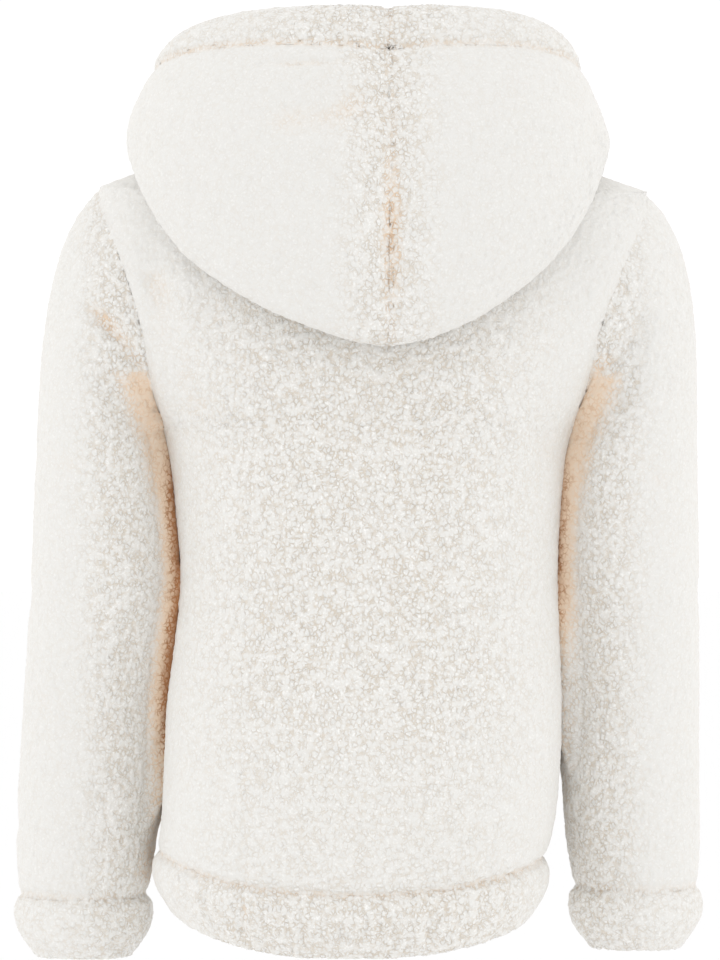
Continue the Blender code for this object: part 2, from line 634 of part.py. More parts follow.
def hood_profile(neck, share, side):
    """Control points of the hood's cloth from the neck seam to the face edge."""
    row = hood_line(share)
    sway = HOOD_CENTRE_X + HOOD_SEAM_SWAY * math.cos(math.pi / 2 * min(share / 0.5, 1)) ** 2
    fold = Vector((side * row.fold_x + sway, row.fold_y, row.fold_z))
    rim = Vector((side * row.rim_x + sway, row.rim_y, row.rim_z))
    away = Vector((fold.x - HOOD_CENTRE_X * (1 - share), fold.y, 0)).normalized()
    size = 1 - 0.45 * smooth((share - 0.6) / 0.4)
    half_fold = HOOD_FOLD_HALF * (1 - 0.2 * smooth((share - 0.75) / 0.25))
    stand = neck + UP * HOOD_STAND * size + away * 0.001
    turn_over = neck + UP * HOOD_STAND * 1.25 * size + away * HOOD_TURN_OUT * size
    fold_in = fold - away * half_fold + UP * HOOD_FOLD_RISE * size
    fold_out = fold + away * half_fold + UP * HOOD_FOLD_RISE * size
    under = turn_over.lerp(fold_in, 0.5)
    full = row.fullness * (1 if side > 0 else HOOD_RIGHT_FULLNESS)
    bulge = fold_out.lerp(rim, 0.45) + away * full
    crown = fold_out.lerp(rim, 0.80) + away * full * 0.70
    return [neck, stand, turn_over, under, fold_in, fold, fold_out, bulge, crown, rim]


def profile_point(controls, v):
    """The cloth at v along a profile, on a smooth curve through its control points."""
    i = max(k for k, knot in enumerate(HOOD_KNOTS[:-1]) if knot <= v)
    t = (v - HOOD_KNOTS[i]) / (HOOD_KNOTS[i + 1] - HOOD_KNOTS[i])
    a, b = controls[max(i - 1, 0)], controls[i]
    c, d = controls[i + 1], controls[min(i + 2, len(controls) - 1)]
    return cubic(a, b, c, d, t)


def hood(neck_outer, neck_seams, obstacles, finish):
    """Left and right hood panels and their turned face hems. neck_outer runs from the left
    front edge round the back to the right front edge, on the torso's outer surface."""
    middle = len(neck_outer) // 2
    surface = []
    for v in HOOD_ROWS[:-1] + HOOD_HEM_ROWS:
        row = []
        for j, neck in enumerate(neck_outer):
            side = 1 if j < middle else -1
            share = abs(j - middle) / middle
            point = profile_point(hood_profile(neck, share, side), v)
            row.append(kept_clear(point, obstacles, HOOD_CLEARANCE) if v > 0.05 else point)
        surface.append(row)
    rows, columns = len(surface), len(neck_outer)
    folded = []
    for i, row in enumerate(surface):
        v = (HOOD_ROWS[:-1] + HOOD_HEM_ROWS)[i]
        outside = smooth((v - 0.46) / 0.08)
        folded.append([])
        for j, point in enumerate(row):
            n = grid_normal(surface, i, j, False)
            valley = HOOD_SEAM_VALLEY * math.exp(-(((j - middle) / 0.9) ** 2))
            valley *= 1 - 0.5 * smooth((v - 0.8) / 0.2)
            folded[i].append(point + n * outside * (fold_offset(point, HOOD_FOLDS) - valley))
    normals = [[grid_normal(folded, i, j, False) for j in range(columns)] for i in range(rows)]
    normals[0] = [neck_mitre for neck_mitre, _ in neck_seams]
    hem_start = len(HOOD_ROWS) - 1
    for name, first, last in (("left", 0, middle), ("right", middle, columns - 1)):
        span = range(first, last + 1)
        outer = [[folded[i][j] for j in span] for i in range(hem_start + 1)]
        inner = [
            [folded[i][j] - normals[i][j] * CLOTH for j in span] for i in range(hem_start + 1)
        ]
        for i in (0, hem_start):
            outer[i] = [p - normals[i][j] * SEAM_DIP for p, j in zip(outer[i], span)]
        sewn = [part_at_seams(grid, False, SEAM_GAP) for grid in (outer, inner)]
        for made in sewn:
            for k, j in enumerate(span):
                made[0][k] += neck_seams[j][1] * SEAM_GAP / 2
        wall("hood_" + name, *sewn, False, finish)
        outer, inner = [], []
        for i in range(hem_start, rows):
            share = (HOOD_HEM_ROWS[i - hem_start] - HOOD_HEM_SHARE) / (1 - HOOD_HEM_SHARE)
            out_by, in_by = band_section(share, CLOTH, HOOD_HEM_PUFF)
            outer.append([folded[i][j] + normals[i][j] * out_by for j in span])
            inner.append([folded[i][j] + normals[i][j] * in_by for j in span])
        sewn = [part_at_seams(grid, False, SEAM_GAP) for grid in (outer, inner)]
        wall("hood_hem_" + name, *sewn, False, finish)


# ---------------------------------------------------------------- zip


def tape_seat(level, turn):
    """A point on the front face of a tape, and the cloth's outward normal there. Levels
    below 0 count the share of the hem band passed, from its seam at 0 to its edge at -1."""
    n = torso_normal(max(level, 0), turn)
    point = torso_point(max(level, 0), turn)
    if level >= 0:
        return point - n * (CLOTH + TAPE_GAP), n
    in_by = band_section(-level, CLOTH, BAND_PUFF)[1] + hem_tuck(-level)
    return point + UP * BAND_HEIGHT * level + level_way(n) * (in_by - TAPE_EASE), n


def zip_frame(level):
    """Where the tapes meet: a point on their front, the way out of the cloth and the way down."""
    step = 0.2
    point, n = tape_seat(level, 270)
    down = tape_seat(level - step, 270)[0] - tape_seat(level + step, 270)[0]
    down = Vector((0, down.y, down.z)).normalized()
    out = Vector((1, 0, 0)).cross(down)
    return point, out if out.y < 0 else -out, down


def zip_tape(name, side, finish):
    """A woven tape behind one front edge, from the foot of the hem band to the neck."""
    outer, inner = [], []
    for level in [-0.86, -0.6, -0.3, *(level for level in LEVELS if level <= ZIP_TOP_LEVEL)]:
        outer.append([])
        inner.append([])
        for x in (TAPE_INNER, OPENING_HALF, TAPE_OUTER)[::side]:
            turn = front_turn(max(level, 0), x)
            seat, n = tape_seat(level, turn if side > 0 else 540 - turn)
            outer[-1].append(seat)
            inner[-1].append(seat - n * TAPE_THICK)
    wall(name, outer, inner, False, finish)


def box(name, size, place):
    bpy.ops.mesh.primitive_cube_add(size=1, location=place)
    obj = bpy.context.object
    obj.name = name
    obj.scale = size
    bpy.ops.object.transform_apply(location=True, rotation=False, scale=True)
    return obj


def joined(first, others):
    """Boolean union of primitives into one body."""
    for other in others:
        union = first.modifiers.new("join", "BOOLEAN")
        union.operation = "UNION"
        union.object = other
        bpy.context.view_layer.objects.active = first
        bpy.ops.object.modifier_apply(modifier=union.name)
        bpy.data.objects.remove(other)
    return first


# Slider, in its own frame: X across the zip, Y up along it, Z out of the cloth, 0 at the tape.
PLATE_WIDTH, PLATE_LENGTH, PLATE_THICK = 0.0092, 0.0135, 0.0012
PLATE_LIFT = 0.0018  # clear height between the tape and a plate, for the teeth
POST_WIDTH = 0.0009
CROWN_WIDTH, CROWN_HALF, CROWN_LEG, CROWN_ROOF = 0.0024, 0.0042, 0.0016, 0.0012
PULL_THICK = 0.0016
PIVOT_LIFT = PLATE_LIFT + PLATE_THICK + 0.0006 + PULL_THICK / 2
CROWN_INSIDE = PIVOT_LIFT + 0.0017
PULL_WIDTH, PULL_LENGTH, EYE_WIDTH, EYE_LENGTH = 0.0072, 0.034, 0.0042, 0.0052
BOX_SIZE = (0.0098, 0.0085, 0.0030)


def to_zip(obj, frame):
    """Carries an object built in the slider's frame to its place on the centre front."""
    point, out, down = frame
    x_way = (-down).cross(out)
    turn = Matrix((x_way, -down, out)).transposed().to_4x4()
    obj.matrix_world = Matrix.Translation(point) @ turn @ obj.matrix_world
    return obj


def adopt(obj, name, finish):
    """Puts a finished primitive among the jacket's pieces under its own name."""
    for collection in list(obj.users_collection):
        collection.objects.unlink(obj)
    jacket.objects.link(obj)
    obj.name = obj.data.name = name
    obj.data.materials.clear()
    obj.data.materials.append(finish)


def zip_slider(frame, finish):
    tape_back = -TAPE_THICK
    top = PLATE_LIFT + PLATE_THICK / 2
    bottom = tape_back - PLATE_LIFT - PLATE_THICK / 2
    lap = 0.0002
    body = box("zip_slider", (PLATE_WIDTH, PLATE_LENGTH, PLATE_THICK), (0, 0, top))
    under = box("under", (PLATE_WIDTH, PLATE_LENGTH, PLATE_THICK), (0, 0, bottom))
    post_size = (POST_WIDTH, PLATE_LENGTH * 0.4, top - bottom)
    post = box("post", post_size, (0, PLATE_LENGTH * 0.28, (top + bottom) / 2))
    leg_height = CROWN_INSIDE + CROWN_ROOF / 2 - top
    legs = [
        box("leg", (CROWN_WIDTH, CROWN_LEG, leg_height),
            (0, way * (CROWN_HALF - CROWN_LEG / 2), top + leg_height / 2))
        for way in (1, -1)
    ]
    roof_size = (CROWN_WIDTH + lap, CROWN_HALF * 2 + lap, CROWN_ROOF)
    roof = box("roof", roof_size, (0, 0, CROWN_INSIDE + CROWN_ROOF / 2))
    adopt(to_zip(joined(body, [under, post, *legs, roof]), frame), "zip_slider", finish)


def zip_pull(frame, finish):
    """The tab: a flat plate whose eye goes through the slider's crown. Its origin is the pivot."""
    bar = PULL_THICK / 2
    plate_top = -(bar + EYE_LENGTH)
    tab = box("zip_pull", (PULL_WIDTH, PULL_LENGTH, PULL_THICK), (0, bar - PULL_LENGTH / 2, 0))
    eye = box("eye", (EYE_WIDTH, EYE_LENGTH, PULL_THICK * 3), (0, -bar - EYE_LENGTH / 2, 0))
    grip_size = (PULL_WIDTH * 0.45, PULL_LENGTH * 0.38, PULL_THICK * 3)
    grip = box("grip", grip_size, (0, plate_top - PULL_LENGTH * 0.42, 0))
    bpy.context.view_layer.objects.active = tab
    for cutter in (eye, grip):
        cut = tab.modifiers.new("cut", "BOOLEAN")
        cut.operation = "DIFFERENCE"
        cut.object = cutter
        bpy.ops.object.modifier_apply(modifier=cut.name)
        bpy.data.objects.remove(cutter)
    tab.location = (0, 0, PIVOT_LIFT)
    bpy.context.view_layer.update()
    adopt(to_zip(tab, frame), "zip_pull", finish)
    print("zip pull pivot", tuple(round(v, 5) for v in tab.matrix_world.translation))


def zip_box(frame, finish):
    """The retainer at the foot of the zip, in front of the two tapes."""
    width, length, thick = BOX_SIZE
    body = box("zip_box", BOX_SIZE, (0, 0, SEAM_GAP * 2 + thick / 2))
    adopt(to_zip(body, frame), "zip_box", finish)


# ---------------------------------------------------------------- the jacket


def outer_obstacles(grids):
    """The outer surfaces that the hood rests on, for keeping it clear of them."""
    points, faces = [], []
    for grid, closed in grids:
        base, columns = len(points), len(grid[0])
        points += [p for row in grid for p in row]
        for i in range(len(grid) - 1):
            for j in range(columns if closed else columns - 1):
                k = (j + 1) % columns
                a, b = base + i * columns, base + (i + 1) * columns
                faces.append((a + j, a + k, b + k, b + j))
    return BVHTree.FromPolygons(points, faces)


def main():
    sherpa = material("sherpa", CREAM, 0.95)
    tape = material("zip_tape", WHITE_TAPE, 0.8)
    metal = material("zip_metal", NICKEL, 0.3, 1.0)
    every_turn = spread(0, 355, 71)
    hull = [[torso_point(level, turn) for turn in every_turn] for level in LEVELS[: ARMPIT_ROW + 1]]
    hull.insert(0, [p - UP * BAND_HEIGHT for p in hull[0]])
    body = outer_obstacles([(hull, True)])
    left = sleeve_grid(1, SLEEVE_LEFT, SLEEVE_LEFT_FOLDS, body)
    right = sleeve_grid(-1, SLEEVE_RIGHT, SLEEVE_RIGHT_FOLDS, body)
    sleeve("left", *left, sherpa)
    sleeve("right", *right, sherpa)
    names = ("front_left", "back", "front_right")
    panels = [torso_panel(name, left[2] | right[2], sherpa) for name in names]
    hem_band(sherpa)
    neck = []
    for name in names:
        neck += panel_turns(NECK_LEVEL, name)[0 if name == "front_left" else 1 :]
    neck_outer = [torso_point(NECK_LEVEL, turn) for turn in neck]
    neck_seams = [neck_seam(turn) for turn in neck]
    shoulders = [(grid, False) for grid in panels] + [(left[0], True), (right[0], True)]
    hood(neck_outer, neck_seams, outer_obstacles(shoulders), sherpa)
    zip_tape("zip_tape_left", 1, tape)
    zip_tape("zip_tape_right", -1, tape)
    slider_frame = zip_frame(SLIDER_LEVEL)
    zip_slider(slider_frame, metal)
    zip_pull(slider_frame, metal)
    zip_box(zip_frame(ZIP_BOX_LEVEL), metal)


for leftover in list(bpy.data.objects):
    bpy.data.objects.remove(leftover)
jacket = bpy.data.collections.new("sherpa_jacket")
bpy.context.scene.collection.children.link(jacket)
main()
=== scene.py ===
import math

import bpy
import numpy as np
from mathutils import Matrix, Vector
from mathutils.bvhtree import BVHTree


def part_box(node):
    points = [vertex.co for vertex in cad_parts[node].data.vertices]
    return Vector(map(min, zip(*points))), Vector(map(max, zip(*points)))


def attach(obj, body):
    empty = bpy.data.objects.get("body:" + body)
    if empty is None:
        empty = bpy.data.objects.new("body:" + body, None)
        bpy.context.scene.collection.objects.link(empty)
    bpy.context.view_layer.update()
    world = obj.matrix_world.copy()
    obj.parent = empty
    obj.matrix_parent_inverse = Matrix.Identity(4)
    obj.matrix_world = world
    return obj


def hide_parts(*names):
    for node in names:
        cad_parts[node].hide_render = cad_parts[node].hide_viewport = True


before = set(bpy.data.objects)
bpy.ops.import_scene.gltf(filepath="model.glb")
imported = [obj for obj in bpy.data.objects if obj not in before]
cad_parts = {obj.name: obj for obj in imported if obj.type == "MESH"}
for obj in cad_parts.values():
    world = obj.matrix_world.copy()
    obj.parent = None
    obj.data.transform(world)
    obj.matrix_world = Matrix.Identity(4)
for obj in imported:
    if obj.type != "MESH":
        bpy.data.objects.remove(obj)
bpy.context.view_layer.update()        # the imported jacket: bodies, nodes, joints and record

# Every length is in metres. The wearer faces -Y, and the wearer's left is +X.


def deselectAll():
    for thing in bpy.context.selected_objects:
        thing.select_set(False)


def takeUp(piece):
    deselectAll()
    piece.select_set(True)
    bpy.context.view_layer.objects.active = piece


def smooth(t):
    t = np.clip(t, 0, 1)
    return t * t * (3 - 2 * t)


class Strand:
    # a node's socket that can be used in sums, so that 1 - mask adds its Math nodes

    def __init__(self, board, socket):
        self.board = board
        self.socket = socket

    def sum(self, operation, left, right):
        return self.board.add("ShaderNodeMath", {"operation": operation}, {0: left, 1: right})

    def __add__(self, other):
        return self.sum("ADD", self, other)

    def __radd__(self, other):
        return self.sum("ADD", other, self)

    def __sub__(self, other):
        return self.sum("SUBTRACT", self, other)

    def __rsub__(self, other):
        return self.sum("SUBTRACT", other, self)

    def __mul__(self, other):
        return self.sum("MULTIPLY", self, other)

    def __rmul__(self, other):
        return self.sum("MULTIPLY", other, self)


class Board:
    # a node tree, with one way to add any node to it

    def __init__(self, tree):
        self.tree = tree

    def feed(self, node, sockets):
        for name, value in sockets.items():
            if isinstance(value, Strand):
                self.tree.links.new(value.socket, node.inputs[name])
            else:
                node.inputs[name].default_value = value

    def add(self, kind, settings=None, sockets=None, out=0):
        made = self.tree.nodes.new(kind)
        for name, value in (settings or {}).items():
            setattr(made, name, value)
        self.feed(made, sockets or {})
        return None if out is None else Strand(self, made.outputs[out])

    def step(self, value, low, high):
        # 0 below low, 1 above high, and a soft rise between them
        return self.add(
            "ShaderNodeMapRange",
            {"interpolation_type": "SMOOTHSTEP"},
            {"Value": value, "From Min": low, "From Max": high},
        )

    def mixColour(self, share, first, second):
        # 6 and 7 are the Mix node's two colours
        return self.add("ShaderNodeMix", {"data_type": "RGBA"}, {0: share, 6: first, 7: second}, out=2)

    def noise(self, place, scale, detail=2.0, out=0):
        sockets = {"Vector": place, "Scale": scale, "Detail": detail}
        return self.add("ShaderNodeTexNoise", {}, sockets, out)

    def vector(self, operation, first, second=None, scale=None):
        sockets = {0: first}
        if second is not None:
            sockets[1] = second
        if scale is not None:
            sockets["Scale"] = scale
        return self.add("ShaderNodeVectorMath", {"operation": operation}, sockets)

    def stray(self, place, scale, reach):
        # an uneven way of up to reach along each axis
        way = self.vector("SUBTRACT", self.noise(place, scale, 1.0, out=1), (0.5, 0.5, 0.5))
        return self.vector("SCALE", way, scale=reach * 2)


pile = {
    "curl": 0.0035,       # from one knot of pile to the next
    "tall": 0.82,         # the knots are a little taller than wide
    "wander": 0.0015,     # how far the knots are pulled out of round
    "twist": 0.0009,      # and how much their outlines waver
    "slope": 0.40,        # share of a knot, in the mesh, that slopes down to the crevice round it
    "crevice": 0.22,      # the same in the colour, where crevices are narrower
    "depth": 0.0015,      # from the tips down to the crevices
    "tuft": 0.024,        # from one thick patch of pile to the next
    "tuftDepth": 0.0008,
    "lumpDepth": 0.0010,  # stray clumps that roughen the outline
    "tip": (0.795, 0.785, 0.760, 1),
    "brushed": (0.764, 0.755, 0.731, 1),  # where the pile lies smooth
    # painted shade deep in the crevices between the knots, also used for the dark ribs of the knit inside
    "root": (0.680, 0.610, 0.520, 1),
    # painted shade: tan in creases, seams and beside the body, brown at the bottom of the gap under the
    # arm
    "tan": (0.80, 0.62, 0.46, 1),
    "shadeBrown": (0.42, 0.19, 0.08, 1),
    "knit": (0.80, 0.76, 0.69, 1),
    "paintedHighlight": (0.92, 0.91, 0.89, 1),  # painted highlights on the tips of the knots
    "grown": (0.34, 0.62),      # between these noise levels the knots grow together
    "paintedHighlightFrom": (0.54, 0.68),     # and between these the painted highlights set in
    "tanFrom": (0.02, 0.55),    # the painted shade goes tan between these depths
    "shadeBrownFrom": (0.42, 0.90),  # and brown between these
    "middle": 0.6,              # the height of curl that leaves the cloth where it was
}

# how fine each uneven pattern in the pile is: spots in a metre
grain = {
    "wander": 1 / (pile["curl"] * 1.3),
    "twist": 620,
    "grown": 190,
    "tuft": 1 / pile["tuft"],
    "lump": 260,
    "wool": 1100,
    "lay": 420,
    "patch": 45,
    "paintedHighlight": 520,
    "shade": 130,
    "ribs": 150.0,
}


def curls(board, place, slope):
    # height of the knotted curls, from 0 in a crevice to 1 on a knot, for mesh and material alike
    pulled = board.vector("ADD", place, board.stray(place, grain["wander"], pile["wander"]))
    pulled = board.vector("ADD", pulled, board.stray(place, grain["twist"], pile["twist"]))
    edge = board.add(
        "ShaderNodeTexVoronoi",
        {"feature": "DISTANCE_TO_EDGE"},
        {
            "Vector": board.vector("MULTIPLY", pulled, (1, 1, pile["tall"])),
            "Scale": 1 / pile["curl"],
        },
    )
    knot = board.step(edge, 0.0, slope)
    apart = board.step(board.noise(place, grain["grown"], 2.0), *pile["grown"])
    return 1 - (1 - knot) * (0.20 + 0.80 * apart)


def pileOnMesh():
    # lifts the shown side of the cloth by the curls, and keeps where it lay as "lie"
    tree = bpy.data.node_groups.new("pile", "GeometryNodeTree")
    tree.interface.new_socket("Cloth", in_out="INPUT", socket_type="NodeSocketGeometry")
    tree.interface.new_socket("Cloth", in_out="OUTPUT", socket_type="NodeSocketGeometry")
    board = Board(tree)
    cloth = board.add("NodeGroupInput")
    place = board.add("GeometryNodeInputPosition")
    normal = board.add("GeometryNodeInputNormal")
    shown = board.add("GeometryNodeInputNamedAttribute", {}, {"Name": "outside"})
    curly = board.add("GeometryNodeInputNamedAttribute", {}, {"Name": "curly"})
    kept = board.add(
        "GeometryNodeStoreNamedAttribute",
        {"data_type": "FLOAT_VECTOR"},
        {"Geometry": cloth, "Name": "lie", "Value": place},
    )
    tuft = board.noise(place, grain["tuft"], 2.0) - 0.5
    lump = board.noise(place, grain["lump"], 3.0) - 0.5
    height = (curls(board, place, pile["slope"]) - pile["middle"]) * pile["depth"]
    height = height * (0.30 + 0.70 * curly)
    height = height + tuft * 2 * pile["tuftDepth"] + lump * 2 * pile["lumpDepth"]
    offset = board.vector("SCALE", normal, scale=height * shown)
    moved = board.add("GeometryNodeSetPosition", {}, {"Geometry": kept, "Offset": offset})
    board.add("NodeGroupOutput", {}, {0: moved}, out=None)
    return tree


# A crease is the side it is seen from, its run across and up (or along Y and up, on a side),
# its depth, below 0 for a ridge, its half width, and last, where it has one, its painted warm shade.
# "curly" is where across the piece the pile is curliest, how far from there it stays so, how far
# off it is at its smoothest, and how curly it still is there. "cuts" is how much finer the mesh
# is cut where it shows from behind.
pieces = [
    {
        "name": "back_cloth", "node": "back", "family": "body", "levels": 2, "cuts": 2,
        "flat": (0.50, 0.56), "area": 0.256, "held": "hung",
        "curly": (0.0, 0.045, 0.185, 0.10),
        "smoothBelow": -0.42,
        "creases": [
            ("back", [(0.163, -0.103), (0.156, -0.162)], 0.0036, 0.011, 0.20),
            ("back", [(0.143, -0.185), (0.126, -0.226)], 0.0030, 0.012, 0.16),
            ("back", [(-0.153, -0.226), (-0.144, -0.264)], 0.0026, 0.011),
            ("back", [(0.133, -0.133), (0.087, -0.167)], 0.0012, 0.013),
            ("back", [(-0.153, -0.156), (-0.115, -0.195)], 0.0014, 0.012),
            ("back", [(0.003, -0.546), (0.003, -0.589)], 0.0024, 0.006),
            ("back", [(0.092, -0.592), (0.090, -0.559)], 0.0018, 0.006),
            ("back", [(0.047, -0.594), (0.050, -0.568)], 0.0013, 0.005),
            ("back", [(-0.050, -0.594), (-0.053, -0.568)], 0.0015, 0.005),
            ("back", [(-0.091, -0.592), (-0.097, -0.559)], 0.0012, 0.006),
        ],
    },
    {
        "name": "front_left_cloth", "node": "front_left", "family": "body", "levels": 2, "cuts": 1,
        "flat": (0.255, 0.56), "area": 0.121, "held": "hung",
        "curly": (0.0, 0.09, 0.16, 0.55),
        "creases": [
            ("front", [(0.168, -0.130), (0.120, -0.178)], 0.0022, 0.011),
            ("front", [(0.150, -0.205), (0.112, -0.240)], 0.0018, 0.012),
            ("front", [(0.062, -0.584), (0.066, -0.552)], 0.0018, 0.006),
            ("front", [(0.112, -0.578), (0.106, -0.540)], 0.0016, 0.006),
        ],
    },
    {
        "name": "front_right_cloth", "node": "front_right", "family": "body", "levels": 2, "cuts": 1,
        "flat": (0.255, 0.56), "area": 0.121, "held": "hung",
        "curly": (0.0, 0.09, 0.16, 0.55),
        "creases": [
            ("front", [(-0.172, -0.138), (-0.130, -0.180)], 0.0022, 0.011),
            ("front", [(-0.146, -0.214), (-0.108, -0.262)], 0.0018, 0.013),
            ("front", [(-0.058, -0.584), (-0.060, -0.556)], 0.0018, 0.006),
            ("front", [(-0.104, -0.578), (-0.100, -0.546)], 0.0014, 0.006),
        ],
    },
    {
        "name": "sleeve_left_cloth", "node": "sleeve_left", "family": "left arm", "levels": 2, "cuts": 2,
        "flat": (0.40, 0.51), "area": 0.166, "held": "hung",
        "curly": (0.165, 0.025, 0.070, 0.14),
        "creases": [
            ("back", [(0.215, -0.134), (0.191, -0.158), (0.171, -0.187)], 0.0060, 0.0065, 0.44),
            ("back", [(0.200, -0.187), (0.183, -0.193), (0.167, -0.203)], 0.0030, 0.006, 0.30),
            ("back", [(0.256, -0.252), (0.216, -0.264)], 0.0016, 0.013),
            ("back", [(0.169, -0.399), (0.200, -0.419)], 0.0018, 0.012),
            ("back", [(0.264, -0.447), (0.228, -0.456)], 0.0016, 0.011),
            ("back", [(0.176, -0.511), (0.212, -0.526)], 0.0018, 0.011),
            ("front", [(0.180, -0.352), (0.222, -0.366)], 0.0026, 0.010),
            ("front", [(0.184, -0.384), (0.236, -0.392)], 0.0022, 0.010),
            ("front", [(0.250, -0.498), (0.214, -0.512)], 0.0018, 0.011),
            ("left", [(-0.050, -0.350), (0.000, -0.372)], 0.0016, 0.012),
            ("left", [(-0.060, -0.540), (-0.010, -0.556)], 0.0016, 0.012),
        ],
    },
    {
        "name": "sleeve_right_cloth", "node": "sleeve_right", "family": "right arm", "levels": 2,
        "cuts": 2, "flat": (0.40, 0.51), "area": 0.161, "held": "hung",
        "curly": (-0.165, 0.025, 0.070, 0.14),
        "creases": [
            ("back", [(-0.195, -0.173), (-0.183, -0.190), (-0.170, -0.213)], 0.0050, 0.009, 0.44),
            ("back", [(-0.220, -0.148), (-0.202, -0.166)], 0.0032, 0.009, 0.14),
            ("back", [(-0.261, -0.264), (-0.221, -0.274)], 0.0016, 0.013),
            ("back", [(-0.169, -0.367), (-0.201, -0.387)], 0.0018, 0.012),
            ("back", [(-0.261, -0.463), (-0.229, -0.475)], 0.0016, 0.011),
            ("front", [(-0.182, -0.360), (-0.226, -0.372)], 0.0026, 0.010),
            ("front", [(-0.186, -0.394), (-0.238, -0.400)], 0.0022, 0.010),
            ("front", [(-0.250, -0.510), (-0.212, -0.520)], 0.0018, 0.011),
            ("right", [(-0.050, -0.340), (0.004, -0.366)], 0.0016, 0.012),
        ],
    },
    {
        "name": "cuff_left_cloth", "node": "cuff_left", "family": "left arm", "levels": 2, "cuts": 1,
        "flat": (0.30, 0.056), "area": None, "held": "gathered",
        "curly": (0.165, 0.020, 0.080, 0.45),
        "creases": [],
    },
    {
        "name": "cuff_right_cloth", "node": "cuff_right", "family": "right arm", "levels": 2, "cuts": 1,
        "flat": (0.30, 0.056), "area": None, "held": "gathered",
        "curly": (-0.165, 0.020, 0.080, 0.45),
        "creases": [],
    },
    {
        "name": "hem_band_cloth", "node": "hem_band", "family": "body", "levels": 2, "cuts": 0,
        "flat": (0.92, 0.055), "area": None, "held": "gathered",
        "curly": (0.0, 0.09, 0.16, 0.30),
        "creases": [
            ("back", [(0.092, -0.599), (0.092, -0.626)], 0.0040, 0.004, 0.30),
            ("back", [(0.047, -0.599), (0.046, -0.634)], 0.0028, 0.004),
            ("back", [(0.016, -0.599), (0.016, -0.636)], 0.0024, 0.003),
            ("back", [(-0.003, -0.599), (-0.004, -0.634)], 0.0026, 0.003),
            ("back", [(-0.025, -0.599), (-0.024, -0.636)], 0.0024, 0.003),
            ("back", [(-0.050, -0.599), (-0.051, -0.632)], 0.0028, 0.004),
            ("back", [(-0.092, -0.598), (-0.093, -0.624)], 0.0018, 0.004),
            ("back", [(0.121, -0.594), (0.119, -0.618)], 0.0018, 0.004),
            ("front", [(0.030, -0.590), (0.031, -0.622)], 0.0026, 0.004),
            ("front", [(0.074, -0.588), (0.073, -0.614)], 0.0022, 0.004),
            ("front", [(0.108, -0.584), (0.110, -0.616)], 0.0028, 0.004),
            ("front", [(-0.046, -0.590), (-0.045, -0.618)], 0.0026, 0.004),
            ("front", [(-0.084, -0.588), (-0.086, -0.622)], 0.0022, 0.004),
            ("front", [(-0.120, -0.582), (-0.119, -0.610)], 0.0026, 0.004),
            ("left", [(-0.030, -0.580), (-0.031, -0.612)], 0.0024, 0.004),
            ("left", [(0.026, -0.580), (0.027, -0.606)], 0.0020, 0.004),
            ("right", [(-0.022, -0.580), (-0.021, -0.608)], 0.0022, 0.004),
            ("right", [(0.038, -0.582), (0.036, -0.614)], 0.0024, 0.004),
        ],
    },
    {
        "name": "hood_left_cloth", "node": "hood_left", "family": "hood", "levels": 2, "cuts": 2,
        "flat": (0.34, 0.44), "area": 0.120, "held": "folded",
        "curly": (-0.020, 0.002, 0.050, 0.12),
        "creases": [
            ("back", [(0.077, 0.047), (0.025, 0.048), (-0.016, 0.052)], 0.0022, 0.0028, 0.20),
            ("back", [(0.070, 0.002), (0.025, 0.005), (-0.010, 0.023)], 0.0050, 0.013, 0.25),
            ("back", [(0.004, -0.040), (0.002, -0.110)], -0.0016, 0.010),
        ],
    },
    {
        "name": "hood_right_cloth", "node": "hood_right", "family": "hood", "levels": 2, "cuts": 2,
        "flat": (0.34, 0.44), "area": 0.120, "held": "folded",
        "curly": (-0.020, 0.002, 0.050, 0.12),
        "creases": [
            ("back", [(-0.052, 0.023), (-0.048, -0.027)], 0.0016, 0.010),
            ("back", [(-0.040, -0.050), (-0.046, -0.120)], -0.0012, 0.012),
        ],
    },
    {
        "name": "hood_hem_left_cloth", "node": "hood_hem_left", "family": "hood", "levels": 2, "cuts": 1,
        "flat": (0.34, 0.040), "area": None, "held": "hung",
        "curly": (0.0, 0.02, 0.10, 0.45),
        "creases": [],
    },
    {
        "name": "hood_hem_right_cloth", "node": "hood_hem_right", "family": "hood", "levels": 2,
        "cuts": 1, "flat": (0.34, 0.040), "area": None, "held": "hung",
        "curly": (0.0, 0.02, 0.10, 0.45),
        "creases": [],
    },
]

seams = [
    {"of": ("hood_left", "hood_right"), "depth": 0.0022, "width": 0.0085, "shade": 0.46,
     "deepest": (-0.080, 0.050)},
    {"of": ("hood_left", "hood_hem_left"), "depth": 0.0014, "width": 0.0040, "shade": 0.26},
    {"of": ("hood_right", "hood_hem_right"), "depth": 0.0014, "width": 0.0040, "shade": 0.22},
    {"of": ("hood_hem_left", "hood_hem_right"), "depth": 0.0014, "width": 0.0040, "shade": 0.22},
    {"of": ("back", "hem_band"), "depth": 0.0015, "width": 0.0036, "shade": 0.24},
    {"of": ("front_left", "hem_band"), "depth": 0.0015, "width": 0.0036, "shade": 0.24},
    {"of": ("front_right", "hem_band"), "depth": 0.0015, "width": 0.0036, "shade": 0.24},
    {"of": ("sleeve_left", "cuff_left"), "depth": 0.0016, "width": 0.0045, "shade": 0.16},
    {"of": ("sleeve_right", "cuff_right"), "depth": 0.0016, "width": 0.0045, "shade": 0.16},
    {"of": ("back", "sleeve_left"), "depth": 0.0006, "width": 0.0040, "shade": 0.06},
    {"of": ("back", "sleeve_right"), "depth": 0.0006, "width": 0.0040, "shade": 0.06},
    {"of": ("front_left", "sleeve_left"), "depth": 0.0006, "width": 0.0040, "shade": 0.06},
    {"of": ("front_right", "sleeve_right"), "depth": 0.0006, "width": 0.0040, "shade": 0.06},
    {"of": ("back", "front_left"), "depth": 0.0006, "width": 0.0040, "shade": 0.06},
    {"of": ("back", "front_right"), "depth": 0.0006, "width": 0.0040, "shade": 0.06},
]

